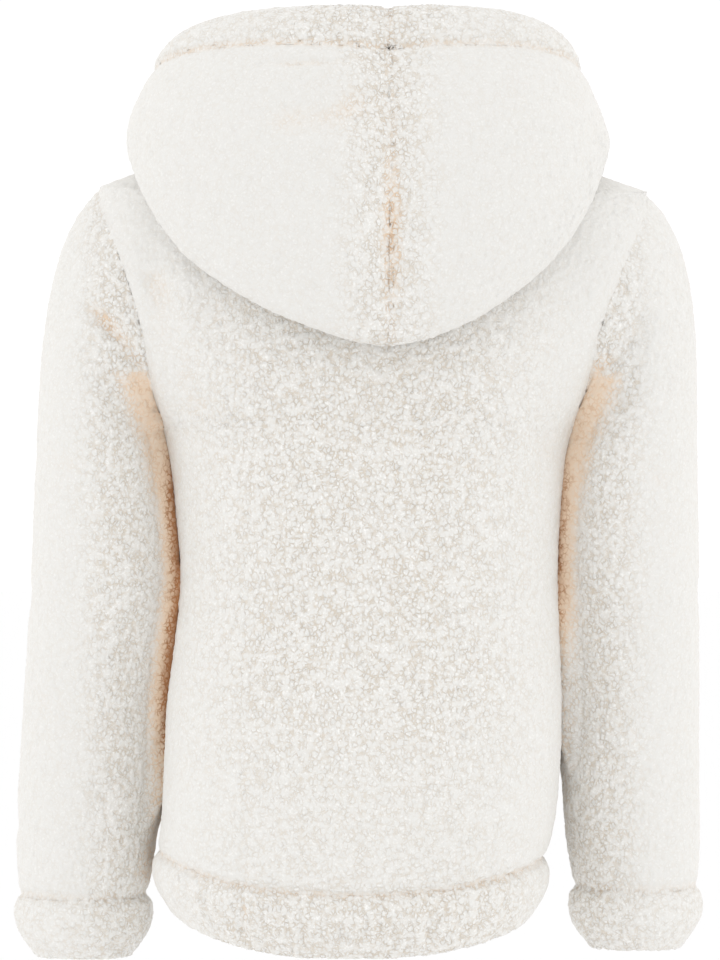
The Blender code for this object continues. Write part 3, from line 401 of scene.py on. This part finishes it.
tuck = {
    "reach": 0.025,                 # how far the sleeve's shade spreads beside the body
    "reachTop": 0.034,              # and how far under the arm, where the sleeve turns in
    "narrows": (-0.250, -0.330),    # between these heights it narrows from one to the other
    "starts": (-0.178, -0.194),     # the shade sets in between these
    "fades": {1: (-0.430, -0.545), -1: (-0.350, -0.440)},  # and fades between these
    "fade": {1: 0.60, -1: 0.70},    # by these shares, on the left and the right
    "tan": 0.21,                    # how much tan shade is painted beside the body
    "shadeTanTop": 0.50,                 # and under the arm
    "shadeBrown": {1: 1.05, -1: 0.80},   # the brown shade painted along the very bottom of the gap, left and right
    "shadeBrownStarts": (-0.236, -0.290),
    "foot": (0.0060, 0.0105),       # how wide that painted shade line is at its top and farther down
    "shutBelow": (-0.165, -0.215),  # the sleeve rests against the body from here down
    "shutAbove": {1: (-0.520, -0.562), -1: (-0.470, -0.520)},  # to here, on the left and the right
    "shutReach": 0.016,
    "hood": 0.05,                   # the softer shade painted where the hood lies on the back
    "hoodReach": 0.03,
    "hoodFades": 0.016,
    "looksFor": 0.045,              # how far from a sleeve the body is looked for
    "push": 0.0008,                 # how far into the body a resting sleeve goes
    "turned": 0.05,                 # cloth that faces the body by more than this can rest on it
    "innerSide": -0.12,             # and cloth turned in by more than this can be shaded
    "turnedRounds": 30,             # how many rounds each of these is evened out by
    "shadedRounds": 8,
    "shadeRounds": 4,
    "shutOver": 0.006,              # from where a sleeve starts to rest to where it fully does
    "flat": (0.25, 0.9),            # from this share of the reach, over this much, the painted tan shade fades
    "border": (1.05, 0.35),         # a curlier edge at this share of the reach, and its spread
}

# how a crease is shaped
creaseForm = {
    "turn": 0.35,   # cloth that faces the crease's side by this much takes all of it
    "lip": 0.28,    # the low ridge on both sides of it, as a share of its depth
    "lipAt": 1.9,   # and how many half widths away
    "shade": 0.10,  # its painted shade, where it has none of its own
    "vary": 0.25,   # how much its depth varies along it
    "wave": 7,      # how fast, and how differently from crease to crease
    "shift": 1.7,
    "ends": 0.05,   # how much of it is left at its ends
    "blunt": 0.6,   # below 1 it keeps its depth nearer to them
}

# how the rims of two pieces meet in a seam
rimForm = {
    "reach": 2.2,       # how many widths of the seam are looked at
    "meets": 0.0026,    # from this distance the two piles run into each other
    "shut": 0.0016,     # fully, this much nearer
    "overlap": 0.0014,  # how far each then reaches into the other
    "bare": 0.6,        # how much of the pile is lost on the wall of the rim
    "wallFrom": 0.3,    # the wall is what turns to the neighbour by more than this
    "wallOver": 0.4,    # and all of it does by this much more
    "pull": 0.8,        # how much of the way to the neighbour a rim goes
    "upright": 0.25,    # the least that is kept of a rim's upright part
    "shallow": 0.25,    # what is left of a seam far from its deepest place
    "tiny": 0.00001,    # this and the next keep a divisor from being nothing
    "small": 0.0002,
}


creaseSides = {
    "back": ((0, 2), (0, 1, 0)),
    "front": ((0, 2), (0, -1, 0)),
    "left": ((1, 2), (1, 0, 0)),
    "right": ((1, 2), (-1, 0, 0)),
}


def treeOf(nodes):
    # one lookup tree of several CAD nodes
    points, triangles = [], []
    for node in nodes:
        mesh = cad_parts[node].data
        start = len(points)
        points += [vertex.co.copy() for vertex in mesh.vertices]
        triangles += [[start + k for k in face.vertices] for face in mesh.polygons]
    return BVHTree.FromPolygons(points, triangles)


def families():
    made = {}
    for look in pieces:
        made.setdefault(look["family"], []).append(look["node"])
    return {family: treeOf(nodes) for family, nodes in made.items()}


# how it is found where the cloth shows
sight = {
    "start": 0.0005,     # a ray starts this far off the cloth
    "step": 0.0003,      # and goes on this far past a face met from behind
    "far": 0.30,         # it looks this far
    "nothing": 9,        # and gives this where it meets nothing
    "ownTouch": 0.0045,  # nearer than this to its own family, the cloth is tucked in
    "touch": 0.010,      # and nearer than this to another
}


def firstFacing(tree, start, way, reach):
    # how far off the first face is that looks back at the start, past those met from behind
    gone = 0
    while gone < reach:
        place, facing, _, away = tree.ray_cast(start, way, reach - gone)
        if place is None:
            break
        gone += away
        if facing.dot(way) < 0:
            return gone
        start = place + way * sight["step"]
        gone += sight["step"]
    return sight["nothing"]


def layOf(face, family, trees):
    # 0 inside the cloth's own tube, 1 tucked against a neighbour, 2 outside, where it can be seen
    lay = 2
    start = face.center + face.normal * sight["start"]
    for other, tree in trees.items():
        away = firstFacing(tree, start, face.normal, sight["far"])
        if other == family and away < sight["far"]:
            return 1 if away < sight["ownTouch"] else 0
        if away < sight["touch"]:
            lay = 1
    return lay


def cutFiner(piece, chosen, cuts):
    # splits the chosen faces, each side into cuts + 1
    bpy.ops.object.mode_set(mode="EDIT")
    bpy.ops.mesh.select_mode(type="FACE")
    bpy.ops.mesh.select_all(action="DESELECT")
    bpy.ops.object.mode_set(mode="OBJECT")
    piece.data.polygons.foreach_set("select", chosen)
    bpy.ops.object.mode_set(mode="EDIT")
    bpy.ops.mesh.subdivide(number_cuts=cuts)
    bpy.ops.object.mode_set(mode="OBJECT")


# how a piece's mesh is made from its solid
shell = {
    "weld": 0.00002,      # corners this close become one
    "bend": 60,           # degrees: triangles less bent than this become one quad
    "swell": 0.0002,      # shuts the 0.3 mm left between two pieces
    "crisp": 62,          # degrees: a rim bent more than this stays crisp
    "turnedAway": -0.15,  # cloth that faces forward more than this isn't cut as fine
}


def shellOf(look, trees):
    # the cloth's own mesh on the form of its solid, cut finer where it shows
    piece = bpy.data.objects.new(look["name"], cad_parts[look["node"]].data.copy())
    bpy.context.scene.collection.objects.link(piece)
    piece.data.materials.clear()
    takeUp(piece)
    bpy.ops.object.mode_set(mode="EDIT")
    bpy.ops.mesh.select_mode(type="EDGE")
    bpy.ops.mesh.select_all(action="SELECT")
    bpy.ops.mesh.remove_doubles(threshold=shell["weld"])
    bend = math.radians(shell["bend"])
    bpy.ops.mesh.tris_convert_to_quads(face_threshold=bend, shape_threshold=bend)
    bpy.ops.transform.shrink_fatten(value=shell["swell"])
    bpy.ops.mesh.select_all(action="DESELECT")
    bpy.ops.mesh.edges_select_sharp(sharpness=math.radians(shell["crisp"]))
    bpy.ops.transform.edge_crease(value=1)
    bpy.ops.object.mode_set(mode="OBJECT")
    rounding = piece.modifiers.new("rounding", "SUBSURF")
    rounding.levels = rounding.render_levels = look["levels"]
    bpy.ops.object.modifier_apply(modifier=rounding.name)
    mesh = piece.data
    lays = [layOf(face, look["family"], trees) for face in mesh.polygons]
    coat = {k for face, lay in zip(mesh.polygons, lays) if lay > 0 for k in face.vertices}
    piece.vertex_groups.new(name="pileSide").add(sorted(coat), 1.0, "REPLACE")
    wanted = []
    for face, lay in zip(mesh.polygons, lays):
        seen = lay == 2
        back = seen and face.normal.y > shell["turnedAway"]
        wanted.append(look["cuts"] if back else min(look["cuts"], seen))
    finer = mesh.attributes.new("finer", "INT", "FACE")
    finer.data.foreach_set("value", wanted)
    for cuts in (2, 1):
        marks = np.empty(len(mesh.polygons), np.int32)
        mesh.attributes["finer"].data.foreach_get("value", marks)
        if (marks == cuts).any():
            cutFiner(piece, marks == cuts, cuts)
    return piece


def readPoints(mesh):
    points = np.empty(len(mesh.vertices) * 3)
    mesh.vertices.foreach_get("co", points)
    normals = np.empty(len(mesh.vertices) * 3)
    mesh.vertices.foreach_get("normal", normals)
    return points.reshape(-1, 3), normals.reshape(-1, 3)


def nearRun(flatPoints, run):
    # distance of each point from a run of straight stretches, and how far along the run it is
    run = np.array(run, float)
    lengths = np.linalg.norm(run[1:] - run[:-1], axis=1)
    before = np.concatenate([[0], np.cumsum(lengths)])
    best = np.full(len(flatPoints), 1e9)
    along = np.zeros(len(flatPoints))
    for k, (start, end) in enumerate(zip(run, run[1:])):
        way = end - start
        t = np.clip((flatPoints - start) @ way / (way @ way), 0, 1)
        away = np.linalg.norm(flatPoints - start - t[:, None] * way, axis=1)
        closer = away < best
        best = np.where(closer, away, best)
        along = np.where(closer, (before[k] + t * lengths[k]) / before[-1], along)
    return best, along


def nearTo(tree, points, chosen, reach):
    # for each chosen point, the way to the nearest place on a tree and how far that is
    ways = np.zeros((len(points), 3))
    away = np.full(len(points), 1.0)
    for k in np.flatnonzero(chosen):
        place, _, _, distance = tree.find_nearest(points[k], reach)
        if place is not None:
            ways[k] = np.array(place) - points[k]
            away[k] = distance
    return ways, away


def soften(values, edges, rounds):
    # evens the values out over neighbouring points
    ways = [(edges[:, 0], edges[:, 1]), (edges[:, 1], edges[:, 0])]
    count = sum(np.bincount(near, minlength=len(values)) for near, _ in ways)
    for _ in range(rounds):
        total = sum(np.bincount(near, values[far], len(values)) for near, far in ways)
        values = 0.5 * values + 0.5 * total / np.maximum(count, 1)
    return values


def between(heights, levels):
    # 0 above the first level, 1 below the second
    return smooth((levels[0] - heights) / (levels[0] - levels[1]))


def within(points, node, reach):
    low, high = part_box(node)
    return ((points > np.array(low) - reach) & (points < np.array(high) + reach)).all(axis=1)


def readCloth(piece):
    points, normals = readPoints(piece.data)
    edges = np.empty(len(piece.data.edges) * 2, np.int32)
    piece.data.edges.foreach_get("vertices", edges)
    pileSide = np.array([sum(held.weight for held in point.groups) for point in piece.data.vertices])
    return {
        "points": points,
        "normals": normals,
        "edges": edges.reshape(-1, 2),
        "pileSide": pileSide,
        "outside": pileSide.copy(),      # where the pile grows
        "lift": np.zeros(len(points)),   # how far each point is raised or lowered
        "shade": np.zeros(len(points)),  # how much shade is painted on it
    }


def pressCreases(cloth, look):
    form = creaseForm
    for number, crease in enumerate(look["creases"]):
        side, run, depth, width = crease[:4]
        paintedShade = crease[4] if len(crease) > 4 else form["shade"]
        axes, facing = creaseSides[side]
        away, along = nearRun(cloth["points"][:, axes], run)
        turned = smooth((cloth["normals"] @ np.array(facing)) / form["turn"])
        wave = np.sin(along * form["wave"] + number * form["shift"])
        uneven = 1 - form["vary"] + form["vary"] * wave
        inset = np.clip(along * (1 - 2 * form["ends"]) + form["ends"], 0, 1)
        taper = np.sin(np.pi * inset) ** form["blunt"] * uneven
        near = np.exp(-((away / width) ** 2))
        lip = form["lip"] * np.exp(-((away / width - form["lipAt"]) ** 2))
        cloth["lift"] -= depth * taper * turned * (near - lip)
        # painted shade along the bottom of the crease
        if depth > 0:
            cloth["shade"] = np.maximum(cloth["shade"], paintedShade * taper * turned * near)


def sewSeams(cloth, look, nodeTrees):
    # lowers the cloth at its seams and paints shade along them, and brings its rims into the neighbour's
    form = rimForm
    points, normals = cloth["points"], cloth["normals"]
    for seam in seams:
        if look["node"] not in seam["of"]:
            continue
        other = seam["of"][1 - seam["of"].index(look["node"])]
        reach = seam["width"] * form["reach"]
        ways, away = nearTo(nodeTrees[other], points, within(points, other, reach), reach)
        shut = smooth((form["meets"] - away) / form["shut"])
        toward = ways / np.maximum(away, form["tiny"])[:, None]
        facing = (normals * toward).sum(axis=1)
        upright = normals - facing[:, None] * toward
        length = np.linalg.norm(upright, axis=1)
        rim = shut > 0  # here a point is lowered along what isn't toward the neighbour
        normals[rim] = (upright / np.maximum(length, form["upright"])[:, None])[rim]
        wall = smooth((np.abs(facing) - form["wallFrom"]) / form["wallOver"])
        cloth["outside"] *= 1 - form["bare"] * shut * wall
        pull = form["pull"] + form["overlap"] / np.maximum(away, form["small"])
        points += ways * (shut * pull)[:, None]
        near = np.exp(-((away / seam["width"]) ** 2))
        if "deepest" in seam:
            middle, spread = seam["deepest"]
            deepest = np.exp(-(((points[:, 2] - middle) / spread) ** 2))
            near *= form["shallow"] + (1 - form["shallow"]) * deepest
        cloth["lift"] -= seam["depth"] * near
        cloth["shade"] = np.maximum(cloth["shade"], seam["shade"] * near)


def curlCloth(cloth, look):
    # how curly the pile is, from 0 where it is brushed flat to 1
    points = cloth["points"]
    middle, full, gone, least = look["curly"]
    beside = np.abs(points[:, 0] - middle)
    curly = least + (1 - least) * (1 - smooth((beside - full) / (gone - full)))
    curly = np.maximum(curly, smooth(cloth["shade"] * 2.5))
    if "smoothBelow" in look:
        curly *= 1 - 0.45 * smooth((look["smoothBelow"] - points[:, 2]) / 0.13)
    cloth["curly"] = curly


def shadeUnderHood(cloth, hoodTree):
    # paints a soft shade on the body where the hood lies close over it
    _, away = nearTo(hoodTree, cloth["points"], cloth["pileSide"] > 0, tuck["hoodReach"])
    soft = tuck["hood"] * np.exp(-((away / tuck["hoodFades"]) ** 2))
    cloth["shade"] = np.maximum(cloth["shade"], soft)


def closeGap(cloth, look, bodyTree):
    # rests a sleeve against the body, and paints shade in the gap: tan at its sides, brown at its bottom
    points, normals, edges = cloth["points"], cloth["normals"], cloth["edges"]
    up = points[:, 2]
    ways, away = nearTo(bodyTree, points, up < tuck["shutBelow"][0], tuck["looksFor"])
    side = 1 if look["curly"][0] > 0 else -1
    facing = (normals * ways).sum(axis=1) > tuck["turned"] * away
    turnedIn = soften(facing * 1.0, edges, tuck["turnedRounds"])
    inner = facing | (normals[:, 0] * side < tuck["innerSide"])
    shaded = soften(inner * 1.0, edges, tuck["shadedRounds"])
    shut = smooth((tuck["shutReach"] - away) / tuck["shutOver"]) * turnedIn
    shut *= between(up, tuck["shutBelow"]) * (1 - between(up, tuck["shutAbove"][side]))
    rest = away * (1 - shut)  # what is left of the gap once the sleeve rests
    narrow = between(up, tuck["narrows"])
    reach = tuck["reach"] * narrow + tuck["reachTop"] * (1 - narrow)
    paintedShade = tuck["tan"] * narrow + tuck["shadeTanTop"] * (1 - narrow)
    level = 1 - tuck["fade"][side] * between(up, tuck["fades"][side])
    level *= between(up, tuck["starts"]) * shaded
    # painted shade: tan over the sleeve beside the body, brown along the bottom of the gap
    flat = (1 - smooth((rest / reach - tuck["flat"][0]) / tuck["flat"][1])) * level
    footWidth = tuck["foot"][0] + (tuck["foot"][1] - tuck["foot"][0]) * narrow
    foot = np.exp(-((rest / footWidth) ** 2)) * level * between(up, tuck["shadeBrownStarts"])
    deep = paintedShade * flat + (tuck["shadeBrown"][side] - paintedShade) * foot
    cloth["shade"] = np.maximum(cloth["shade"], soften(deep, edges, tuck["shadeRounds"]))
    border = np.exp(-(((away / reach - tuck["border"][0]) / tuck["border"][1]) ** 2)) * level
    cloth["curly"] = np.maximum(cloth["curly"] * (1 - 0.8 * flat), 0.9 * border)
    points += ways * (shut * (1 + tuck["push"] / np.maximum(away, tuck["push"])))[:, None]


def shapeCloth(piece, look, trees, nodeTrees):
    # gives the cloth its folds and seams, and keeps for the pile what it needs to know
    cloth = readCloth(piece)
    pressCreases(cloth, look)
    sewSeams(cloth, look, nodeTrees)
    curlCloth(cloth, look)
    if look["family"] == "body":
        shadeUnderHood(cloth, trees["hood"])
    if "arm" in look["family"]:
        closeGap(cloth, look, trees["body"])
    cloth["points"] += cloth["normals"] * (cloth["lift"] * cloth["pileSide"])[:, None]
    piece.data.vertices.foreach_set("co", cloth["points"].ravel())
    piece.data.update()
    for name in ("curly", "shade", "outside"):
        kept = piece.data.attributes.new(name, "FLOAT", "POINT")
        kept.data.foreach_set("value", cloth[name])


def growPile(piece, group):
    takeUp(piece)
    grown = piece.modifiers.new("pile", "NODES")
    grown.node_group = group
    bpy.ops.object.modifier_apply(modifier=grown.name)
    piece.data.shade_smooth()


def freshMaterial(name):
    made = bpy.data.materials.new(name)
    made.use_nodes = True
    board = Board(made.node_tree)
    return made, board, made.node_tree.nodes["Principled BSDF"]


def sherpaMaterial():
    # knotted ivory pile with painted shade, tan in its creases and brown in the deep gaps, painted
    # highlights on its knots, and a plain knit inside
    made, board, shader = freshMaterial("sherpa")
    place = board.add("ShaderNodeAttribute", {"attribute_name": "lie"}, out=1)
    curly = board.add("ShaderNodeAttribute", {"attribute_name": "curly"}, out=2)
    shade = board.add("ShaderNodeAttribute", {"attribute_name": "shade"}, out=2)
    outside = board.add("ShaderNodeAttribute", {"attribute_name": "outside"}, out=2)
    height = curls(board, place, pile["crevice"])
    wool = board.noise(place, grain["wool"], 3.0)
    lay = board.noise(place, grain["lay"], 2.0)
    patch = board.noise(place, grain["patch"], 2.0)
    # where the painted crevice shade lies: patchy, and faint where the pile is less curly
    root = (1 - height) * (0.25 + 0.55 * patch + 0.75 * lay) * (0.12 + 0.88 * curly)
    tip = board.mixColour(curly, pile["brushed"], pile["tip"])
    colour = board.mixColour(root, tip, pile["root"])
    # painted highlights on the tips of the knots
    paintedHighlight = board.step(board.noise(place, grain["paintedHighlight"], 2.0), *pile["paintedHighlightFrom"]) * height
    colour = board.mixColour(paintedHighlight * (0.25 + 0.60 * curly), colour, pile["paintedHighlight"])
    # painted shade, tan and where deepest brown, kept mostly off the tips of the knots
    deep = shade * (0.80 + 0.4 * board.noise(place, grain["shade"], 2.0))
    deep = deep * (1.08 + 0.34 * curly - (0.20 + 0.80 * curly) * height)
    colour = board.mixColour(board.step(deep, *pile["tanFrom"]), colour, pile["tan"])
    colour = board.mixColour(board.step(deep, *pile["shadeBrownFrom"]), colour, pile["shadeBrown"])
    ribs = board.add(
        "ShaderNodeTexWave",
        {"bands_direction": "X"},
        {"Vector": place, "Scale": grain["ribs"], "Distortion": 1.2, "Detail": 1.0},
    )
    shownSide = board.step(outside, 0.02, 0.30)
    colour = board.mixColour(shownSide, board.mixColour(ribs, pile["root"], pile["knit"]), colour)
    relief = height * curly * 0.8 + lay * (0.25 + 0.35 * curly) + wool * 0.25
    relief = relief * shownSide + ribs * 0.3 * (1 - shownSide)
    bump = board.add("ShaderNodeBump", {}, {"Strength": 0.6, "Distance": 0.0011, "Height": relief})
    board.feed(shader, {
        "Base Color": colour,
        "Roughness": 0.95,
        "Normal": bump,
        "Sheen Weight": 0.25,
        "Sheen Roughness": 0.55,
        "Sheen Tint": (1.0, 0.97, 0.93, 1),
        "Specular IOR Level": 0.15,
    })
    return made


zipLook = {
    "pitch": 0.0026,       # from one tooth to the next on the same tape
    "rootReach": 0.0034,   # from the middle of the zip out to the back of a tooth
    "tipReach": 0.0009,    # and on past the middle to its tip
    "toothTall": 0.00125,
    "toothThick": 0.0022,
    "tapeThick": 0.0009,
    "edgeGap": 0.0013,     # from the middle of the zip to a tape's edge
    "stitchPitch": 0.0034,
    "stitchLong": 0.0027,
    "stitchWide": 0.0005,
    "stitchIn": 0.0036,    # from a tape's edge to its line of stitches
    "stitchFoot": 0.002,   # the first stitch is this far up
    "stitchProud": 0.00005,
    "neck": 0.0009,        # the part of a tooth's root that is its head's
    "headTall": 0.86,      # the head against the root
    "headThick": 0.62,
    "rounding": 0.0002,
    "aboveBox": 0.001,     # the run starts this far above the box
    "belowTop": 0.002,     # and ends this far below the tape's top
    "step": 0.001,         # from one place on the run to the next
    "slice": 0.0015,       # points this near in height are compared to find the edge
    "edgeWithin": 0.0003,
    "inFromEdge": 0.0006,  # where the tape's front is measured
    "ahead": 0.004,        # how far on and back the run's direction is taken from
}

zipColours = {
    "nickel": (0.80, 0.78, 0.74, 1),
    "worn": (0.62, 0.60, 0.57, 1),
    "tapeDark": (0.66, 0.61, 0.52, 1),
    "tapeLight": (0.84, 0.80, 0.72, 1),
    "threadDark": (0.74, 0.68, 0.58, 1),
    "threadLight": (0.90, 0.87, 0.80, 1),
}


def tapeRun(node, side):
    # the places up the inner edge of a tape, on its front, and the way out at each
    look = zipLook
    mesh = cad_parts[node].data
    tree = treeOf([node])
    points = np.array([vertex.co[:] for vertex in mesh.vertices])
    across = points[:, 0] * side
    edge = []
    for place, reach in zip(points, across):
        level = np.abs(points[:, 2] - place[2]) < look["slice"]
        if reach < across[level].min() + look["edgeWithin"]:
            edge.append((place[2], place[0]))
    edge = np.array(sorted(edge))
    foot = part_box("zip_box")[1].z + look["aboveBox"]
    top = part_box(node)[1].z - look["belowTop"]
    run, outward = [], []
    for up in np.arange(foot, top, look["step"]):
        x = np.interp(up, edge[:, 0], edge[:, 1])
        before = Vector((x + side * look["inFromEdge"], -0.3, up))  # in front of the jacket
        hit, facing, _, _ = tree.ray_cast(before, Vector((0, 1, 0)))
        if hit is not None:
            run.append((x, hit.y, up))
            outward.append(facing[:])
    return np.array(run), np.array(outward)


def placesAlong(run, outward, start, pitch):
    # evenly spaced places on a run, each with its way across, up and out
    steps = np.linalg.norm(run[1:] - run[:-1], axis=1)
    gone = np.concatenate([[0], np.cumsum(steps)])
    for reach in np.arange(start, gone[-1], pitch):
        place = np.array([np.interp(reach, gone, run[:, k]) for k in range(3)])
        ahead = np.array([np.interp(reach + zipLook["ahead"], gone, run[:, k]) for k in range(3)])
        behind = np.array([np.interp(reach - zipLook["ahead"], gone, run[:, k]) for k in range(3)])
        up = Vector(ahead - behind).normalized()
        out = Vector([np.interp(reach, gone, outward[:, k]) for k in range(3)])
        out = (out - up * out.dot(up)).normalized()
        yield Vector(place), up.cross(out), up, out


def oneTooth():
    # a cast tooth: a block that grips the tape's edge, and a narrower head past the middle
    look = zipLook
    deselectAll()
    root = look["rootReach"] - look["neck"]
    bpy.ops.mesh.primitive_cube_add(size=1, location=(0, 0, 0))
    tooth = bpy.context.object
    tooth.name = "tooth"
    bpy.ops.object.mode_set(mode="EDIT")
    bpy.ops.transform.resize(value=(root, look["toothTall"], look["toothThick"]))
    bpy.ops.transform.translate(value=(look["rootReach"] - look["edgeGap"] - root / 2, 0, 0))
    bpy.ops.mesh.select_mode(type="FACE")
    bpy.ops.mesh.select_all(action="DESELECT")
    bpy.ops.object.mode_set(mode="OBJECT")
    for face in tooth.data.polygons:
        face.select = face.normal.x < -0.9
    bpy.ops.object.mode_set(mode="EDIT")
    head = look["neck"] + look["tipReach"]
    bpy.ops.mesh.extrude_region_move(TRANSFORM_OT_translate={"value": (-head, 0, 0)})
    bpy.ops.transform.resize(value=(1, look["headTall"], look["headThick"]))
    bpy.ops.mesh.select_all(action="SELECT")
    bpy.ops.mesh.bevel(offset=look["rounding"], segments=1, affect="EDGES")
    bpy.ops.mesh.normals_make_consistent(inside=False)
    bpy.ops.object.mode_set(mode="OBJECT")
    return tooth


def oneStitch():
    deselectAll()
    bpy.ops.mesh.primitive_uv_sphere_add(segments=6, ring_count=5, radius=0.5)
    stitch = bpy.context.object
    stitch.name = "stitch"
    bpy.ops.object.mode_set(mode="EDIT")
    bpy.ops.transform.rotate(value=math.radians(90), orient_axis="X", center_override=(0, 0, 0))
    bpy.ops.transform.resize(value=(zipLook["stitchWide"], zipLook["stitchLong"], zipLook["stitchWide"]))
    bpy.ops.object.mode_set(mode="OBJECT")
    return stitch


def setAlong(model, name, places, side, lift, sideways):
    # copies of a small model along the zip, joined into one piece at the origin; on the right
    # tape each is turned half round, to point the other way
    copies = []
    for place, across, up, out in places:
        across, up = across * side, up * side
        mesh = model.data.copy()
        copy = bpy.data.objects.new(name, mesh)
        bpy.context.scene.collection.objects.link(copy)
        turn = Matrix((across, up, out)).transposed().to_4x4()
        mesh.transform(Matrix.Translation(place + out * lift + across * sideways) @ turn)
        copies.append(copy)
    deselectAll()
    for copy in copies:
        copy.select_set(True)
    bpy.context.view_layer.objects.active = copies[0]
    bpy.ops.object.join()
    copies[0].name = name
    copies[0].data.shade_smooth()
    copies[0].data.set_sharp_from_angle(angle=math.radians(40))
    return copies[0]


def makeZip(metal, thread):
    tooth, stitch = oneTooth(), oneStitch()
    look = zipLook
    for node, side, start in (("zip_tape_left", 1, 0.0), ("zip_tape_right", -1, look["pitch"] / 2)):
        label = node.replace("zip_tape_", "")
        run, outward = tapeRun(node, side)
        places = list(placesAlong(run, outward, start, look["pitch"]))
        teeth = setAlong(tooth, "teeth_" + label, places, side, -look["tapeThick"] / 2, 0)
        seats = list(placesAlong(run, outward, look["stitchFoot"], look["stitchPitch"]))
        name = "tape_stitches_" + label
        stitches = setAlong(stitch, name, seats, side, look["stitchProud"], look["stitchIn"])
        for piece, finish, slot in ((teeth, metal, "zip_metal"), (stitches, thread, "zip_tape")):
            piece.data.materials.clear()
            piece.data.materials.append(finish)
            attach(piece, "jacket")
        faces = len(teeth.data.polygons) + len(stitches.data.polygons)
        print("zip", label, len(places), "teeth", len(seats), "stitches", faces, "faces")
    for model in (tooth, stitch):
        bpy.data.objects.remove(model)


def metalMaterial():
    # brushed nickel, duller in soft patches
    made, board, shader = freshMaterial("nickel")
    place = board.add("ShaderNodeTexCoord", out=3)
    worn = board.noise(place, 320, 3.0)
    grain = board.noise(board.vector("MULTIPLY", place, (4, 1, 0.3)), 2400, 2.0)
    colour = board.mixColour(worn, zipColours["nickel"], zipColours["worn"])
    bump = board.add("ShaderNodeBump", {}, {"Strength": 0.12, "Distance": 0.0001, "Height": grain})
    board.feed(shader, {
        "Base Color": colour,
        "Metallic": 1.0,
        "Roughness": 0.22 + worn * 0.20,
        "Normal": bump,
    })
    return made


def weaveMaterial():
    # a zip tape's close herringbone twill
    made, board, shader = freshMaterial("twill")
    place = board.add("ShaderNodeTexCoord", out=3)
    warp = board.add(
        "ShaderNodeTexWave",
        {"bands_direction": "DIAGONAL"},
        {"Vector": board.vector("MULTIPLY", place, (1, 0, 1)), "Scale": 520.0, "Distortion": 0.6},
    )
    weft = board.add(
        "ShaderNodeTexWave",
        {"bands_direction": "Z"},
        {"Vector": place, "Scale": 900.0, "Distortion": 0.3},
    )
    threads = warp * 0.7 + weft * 0.3
    colour = board.mixColour(threads, zipColours["tapeDark"], zipColours["tapeLight"])
    bump = board.add("ShaderNodeBump", {}, {"Strength": 0.5, "Distance": 0.0002, "Height": threads})
    board.feed(shader, {"Base Color": colour, "Roughness": 0.82, "Normal": bump, "Sheen Weight": 0.15})
    return made


def threadMaterial():
    # the ivory sewing thread, twisted from two plies
    made, board, shader = freshMaterial("thread")
    place = board.add("ShaderNodeTexCoord", out=3)
    twist = board.add(
        "ShaderNodeTexWave",
        {"bands_direction": "DIAGONAL"},
        {"Vector": place, "Scale": 700.0},
    )
    colour = board.mixColour(twist, zipColours["threadDark"], zipColours["threadLight"])
    board.feed(shader, {"Base Color": colour, "Roughness": 0.6, "Sheen Weight": 0.2})
    return made


studio = {
    "sky": 1.05,
    "paper": (0.95, 0.95, 0.95, 1),
    "floorWide": 60,
    "floorUp": -1.2,
    "aim": (0, 0, -0.28),
    "lamps": [  # name, place, power and size
        ("side_left", (2.6, 1.0, 0.1), 8, 1.4),
        ("side_right", (-2.6, 1.0, 0.0), 8, 1.4),
        ("front_left", (1.9, -2.8, 0.6), 5, 1.6),
        ("front_right", (-1.9, -2.8, 0.4), 5, 1.6),
        ("top", (0, 0.3, 2.2), 3, 1.6),
    ],
}


def makeStudio():
    world = bpy.data.worlds.new("studio")
    bpy.context.scene.world = world
    world.use_nodes = True
    board = Board(world.node_tree)
    board.feed(world.node_tree.nodes["Background"], {"Color": (1, 1, 1, 1), "Strength": studio["sky"]})
    deselectAll()
    bpy.ops.mesh.primitive_plane_add(size=studio["floorWide"], location=(0, 0, studio["floorUp"]))
    floor = bpy.context.object
    floor.name = "floor"
    paper, board, shader = freshMaterial("pale_floor")
    board.feed(shader, {"Base Color": studio["paper"], "Roughness": 0.9})
    floor.data.materials.append(paper)
    for name, place, power, size in studio["lamps"]:
        light = bpy.data.lights.new(name, "AREA")
        light.energy = power
        light.size = size
        lamp = bpy.data.objects.new(name, light)
        lamp.location = place
        way = Vector(studio["aim"]) - lamp.location
        lamp.rotation_euler = way.to_track_quat("-Z", "Y").to_euler()
        bpy.context.scene.collection.objects.link(lamp)


view = {
    "lens": 150,                       # in millimetres, as the next one is
    "sensor": 36,
    "place": (0.0016, 3.2, -0.272),
    "turn": (90, 0, 180),              # degrees: level, and looking at the back
}


def makeCamera():
    lens = bpy.data.cameras.new("camera")
    lens.lens = view["lens"]
    lens.sensor_width = view["sensor"]
    camera = bpy.data.objects.new("camera", lens)
    camera.location = view["place"]
    camera.rotation_euler = [math.radians(angle) for angle in view["turn"]]
    bpy.context.scene.collection.objects.link(camera)
    bpy.context.scene.camera = camera


makeCamera()
makeStudio()
bpy.context.scene.view_settings.view_transform = "Standard"
print("studio ready")

sherpa = sherpaMaterial()
pileGroup = pileOnMesh()
trees = families()
nodeTrees = {look["node"]: treeOf([look["node"]]) for look in pieces}
added = 0
for look in pieces:
    piece = shellOf(look, trees)
    shapeCloth(piece, look, trees, nodeTrees)
    growPile(piece, pileGroup)
    piece.data.materials.append(sherpa)
    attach(piece, "jacket")
    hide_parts(look["node"])
    piece.data.calc_loop_triangles()
    added += len(piece.data.loop_triangles)
    area = sum(face.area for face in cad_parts[look["node"]].data.polygons) / 2
    print("sewn", look["name"], len(piece.data.loop_triangles), "triangles; solid's cloth", round(area, 4))
print("cloth", added, "triangles")

metal, twill = metalMaterial(), weaveMaterial()
makeZip(metal, threadMaterial())
finishes = {
    "zip_slider": metal,
    "zip_pull": metal,
    "zip_box": metal,
    "zip_tape_left": twill,
    "zip_tape_right": twill,
}
for node, finish in finishes.items():
    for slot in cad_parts[node].material_slots:
        slot.material = finish
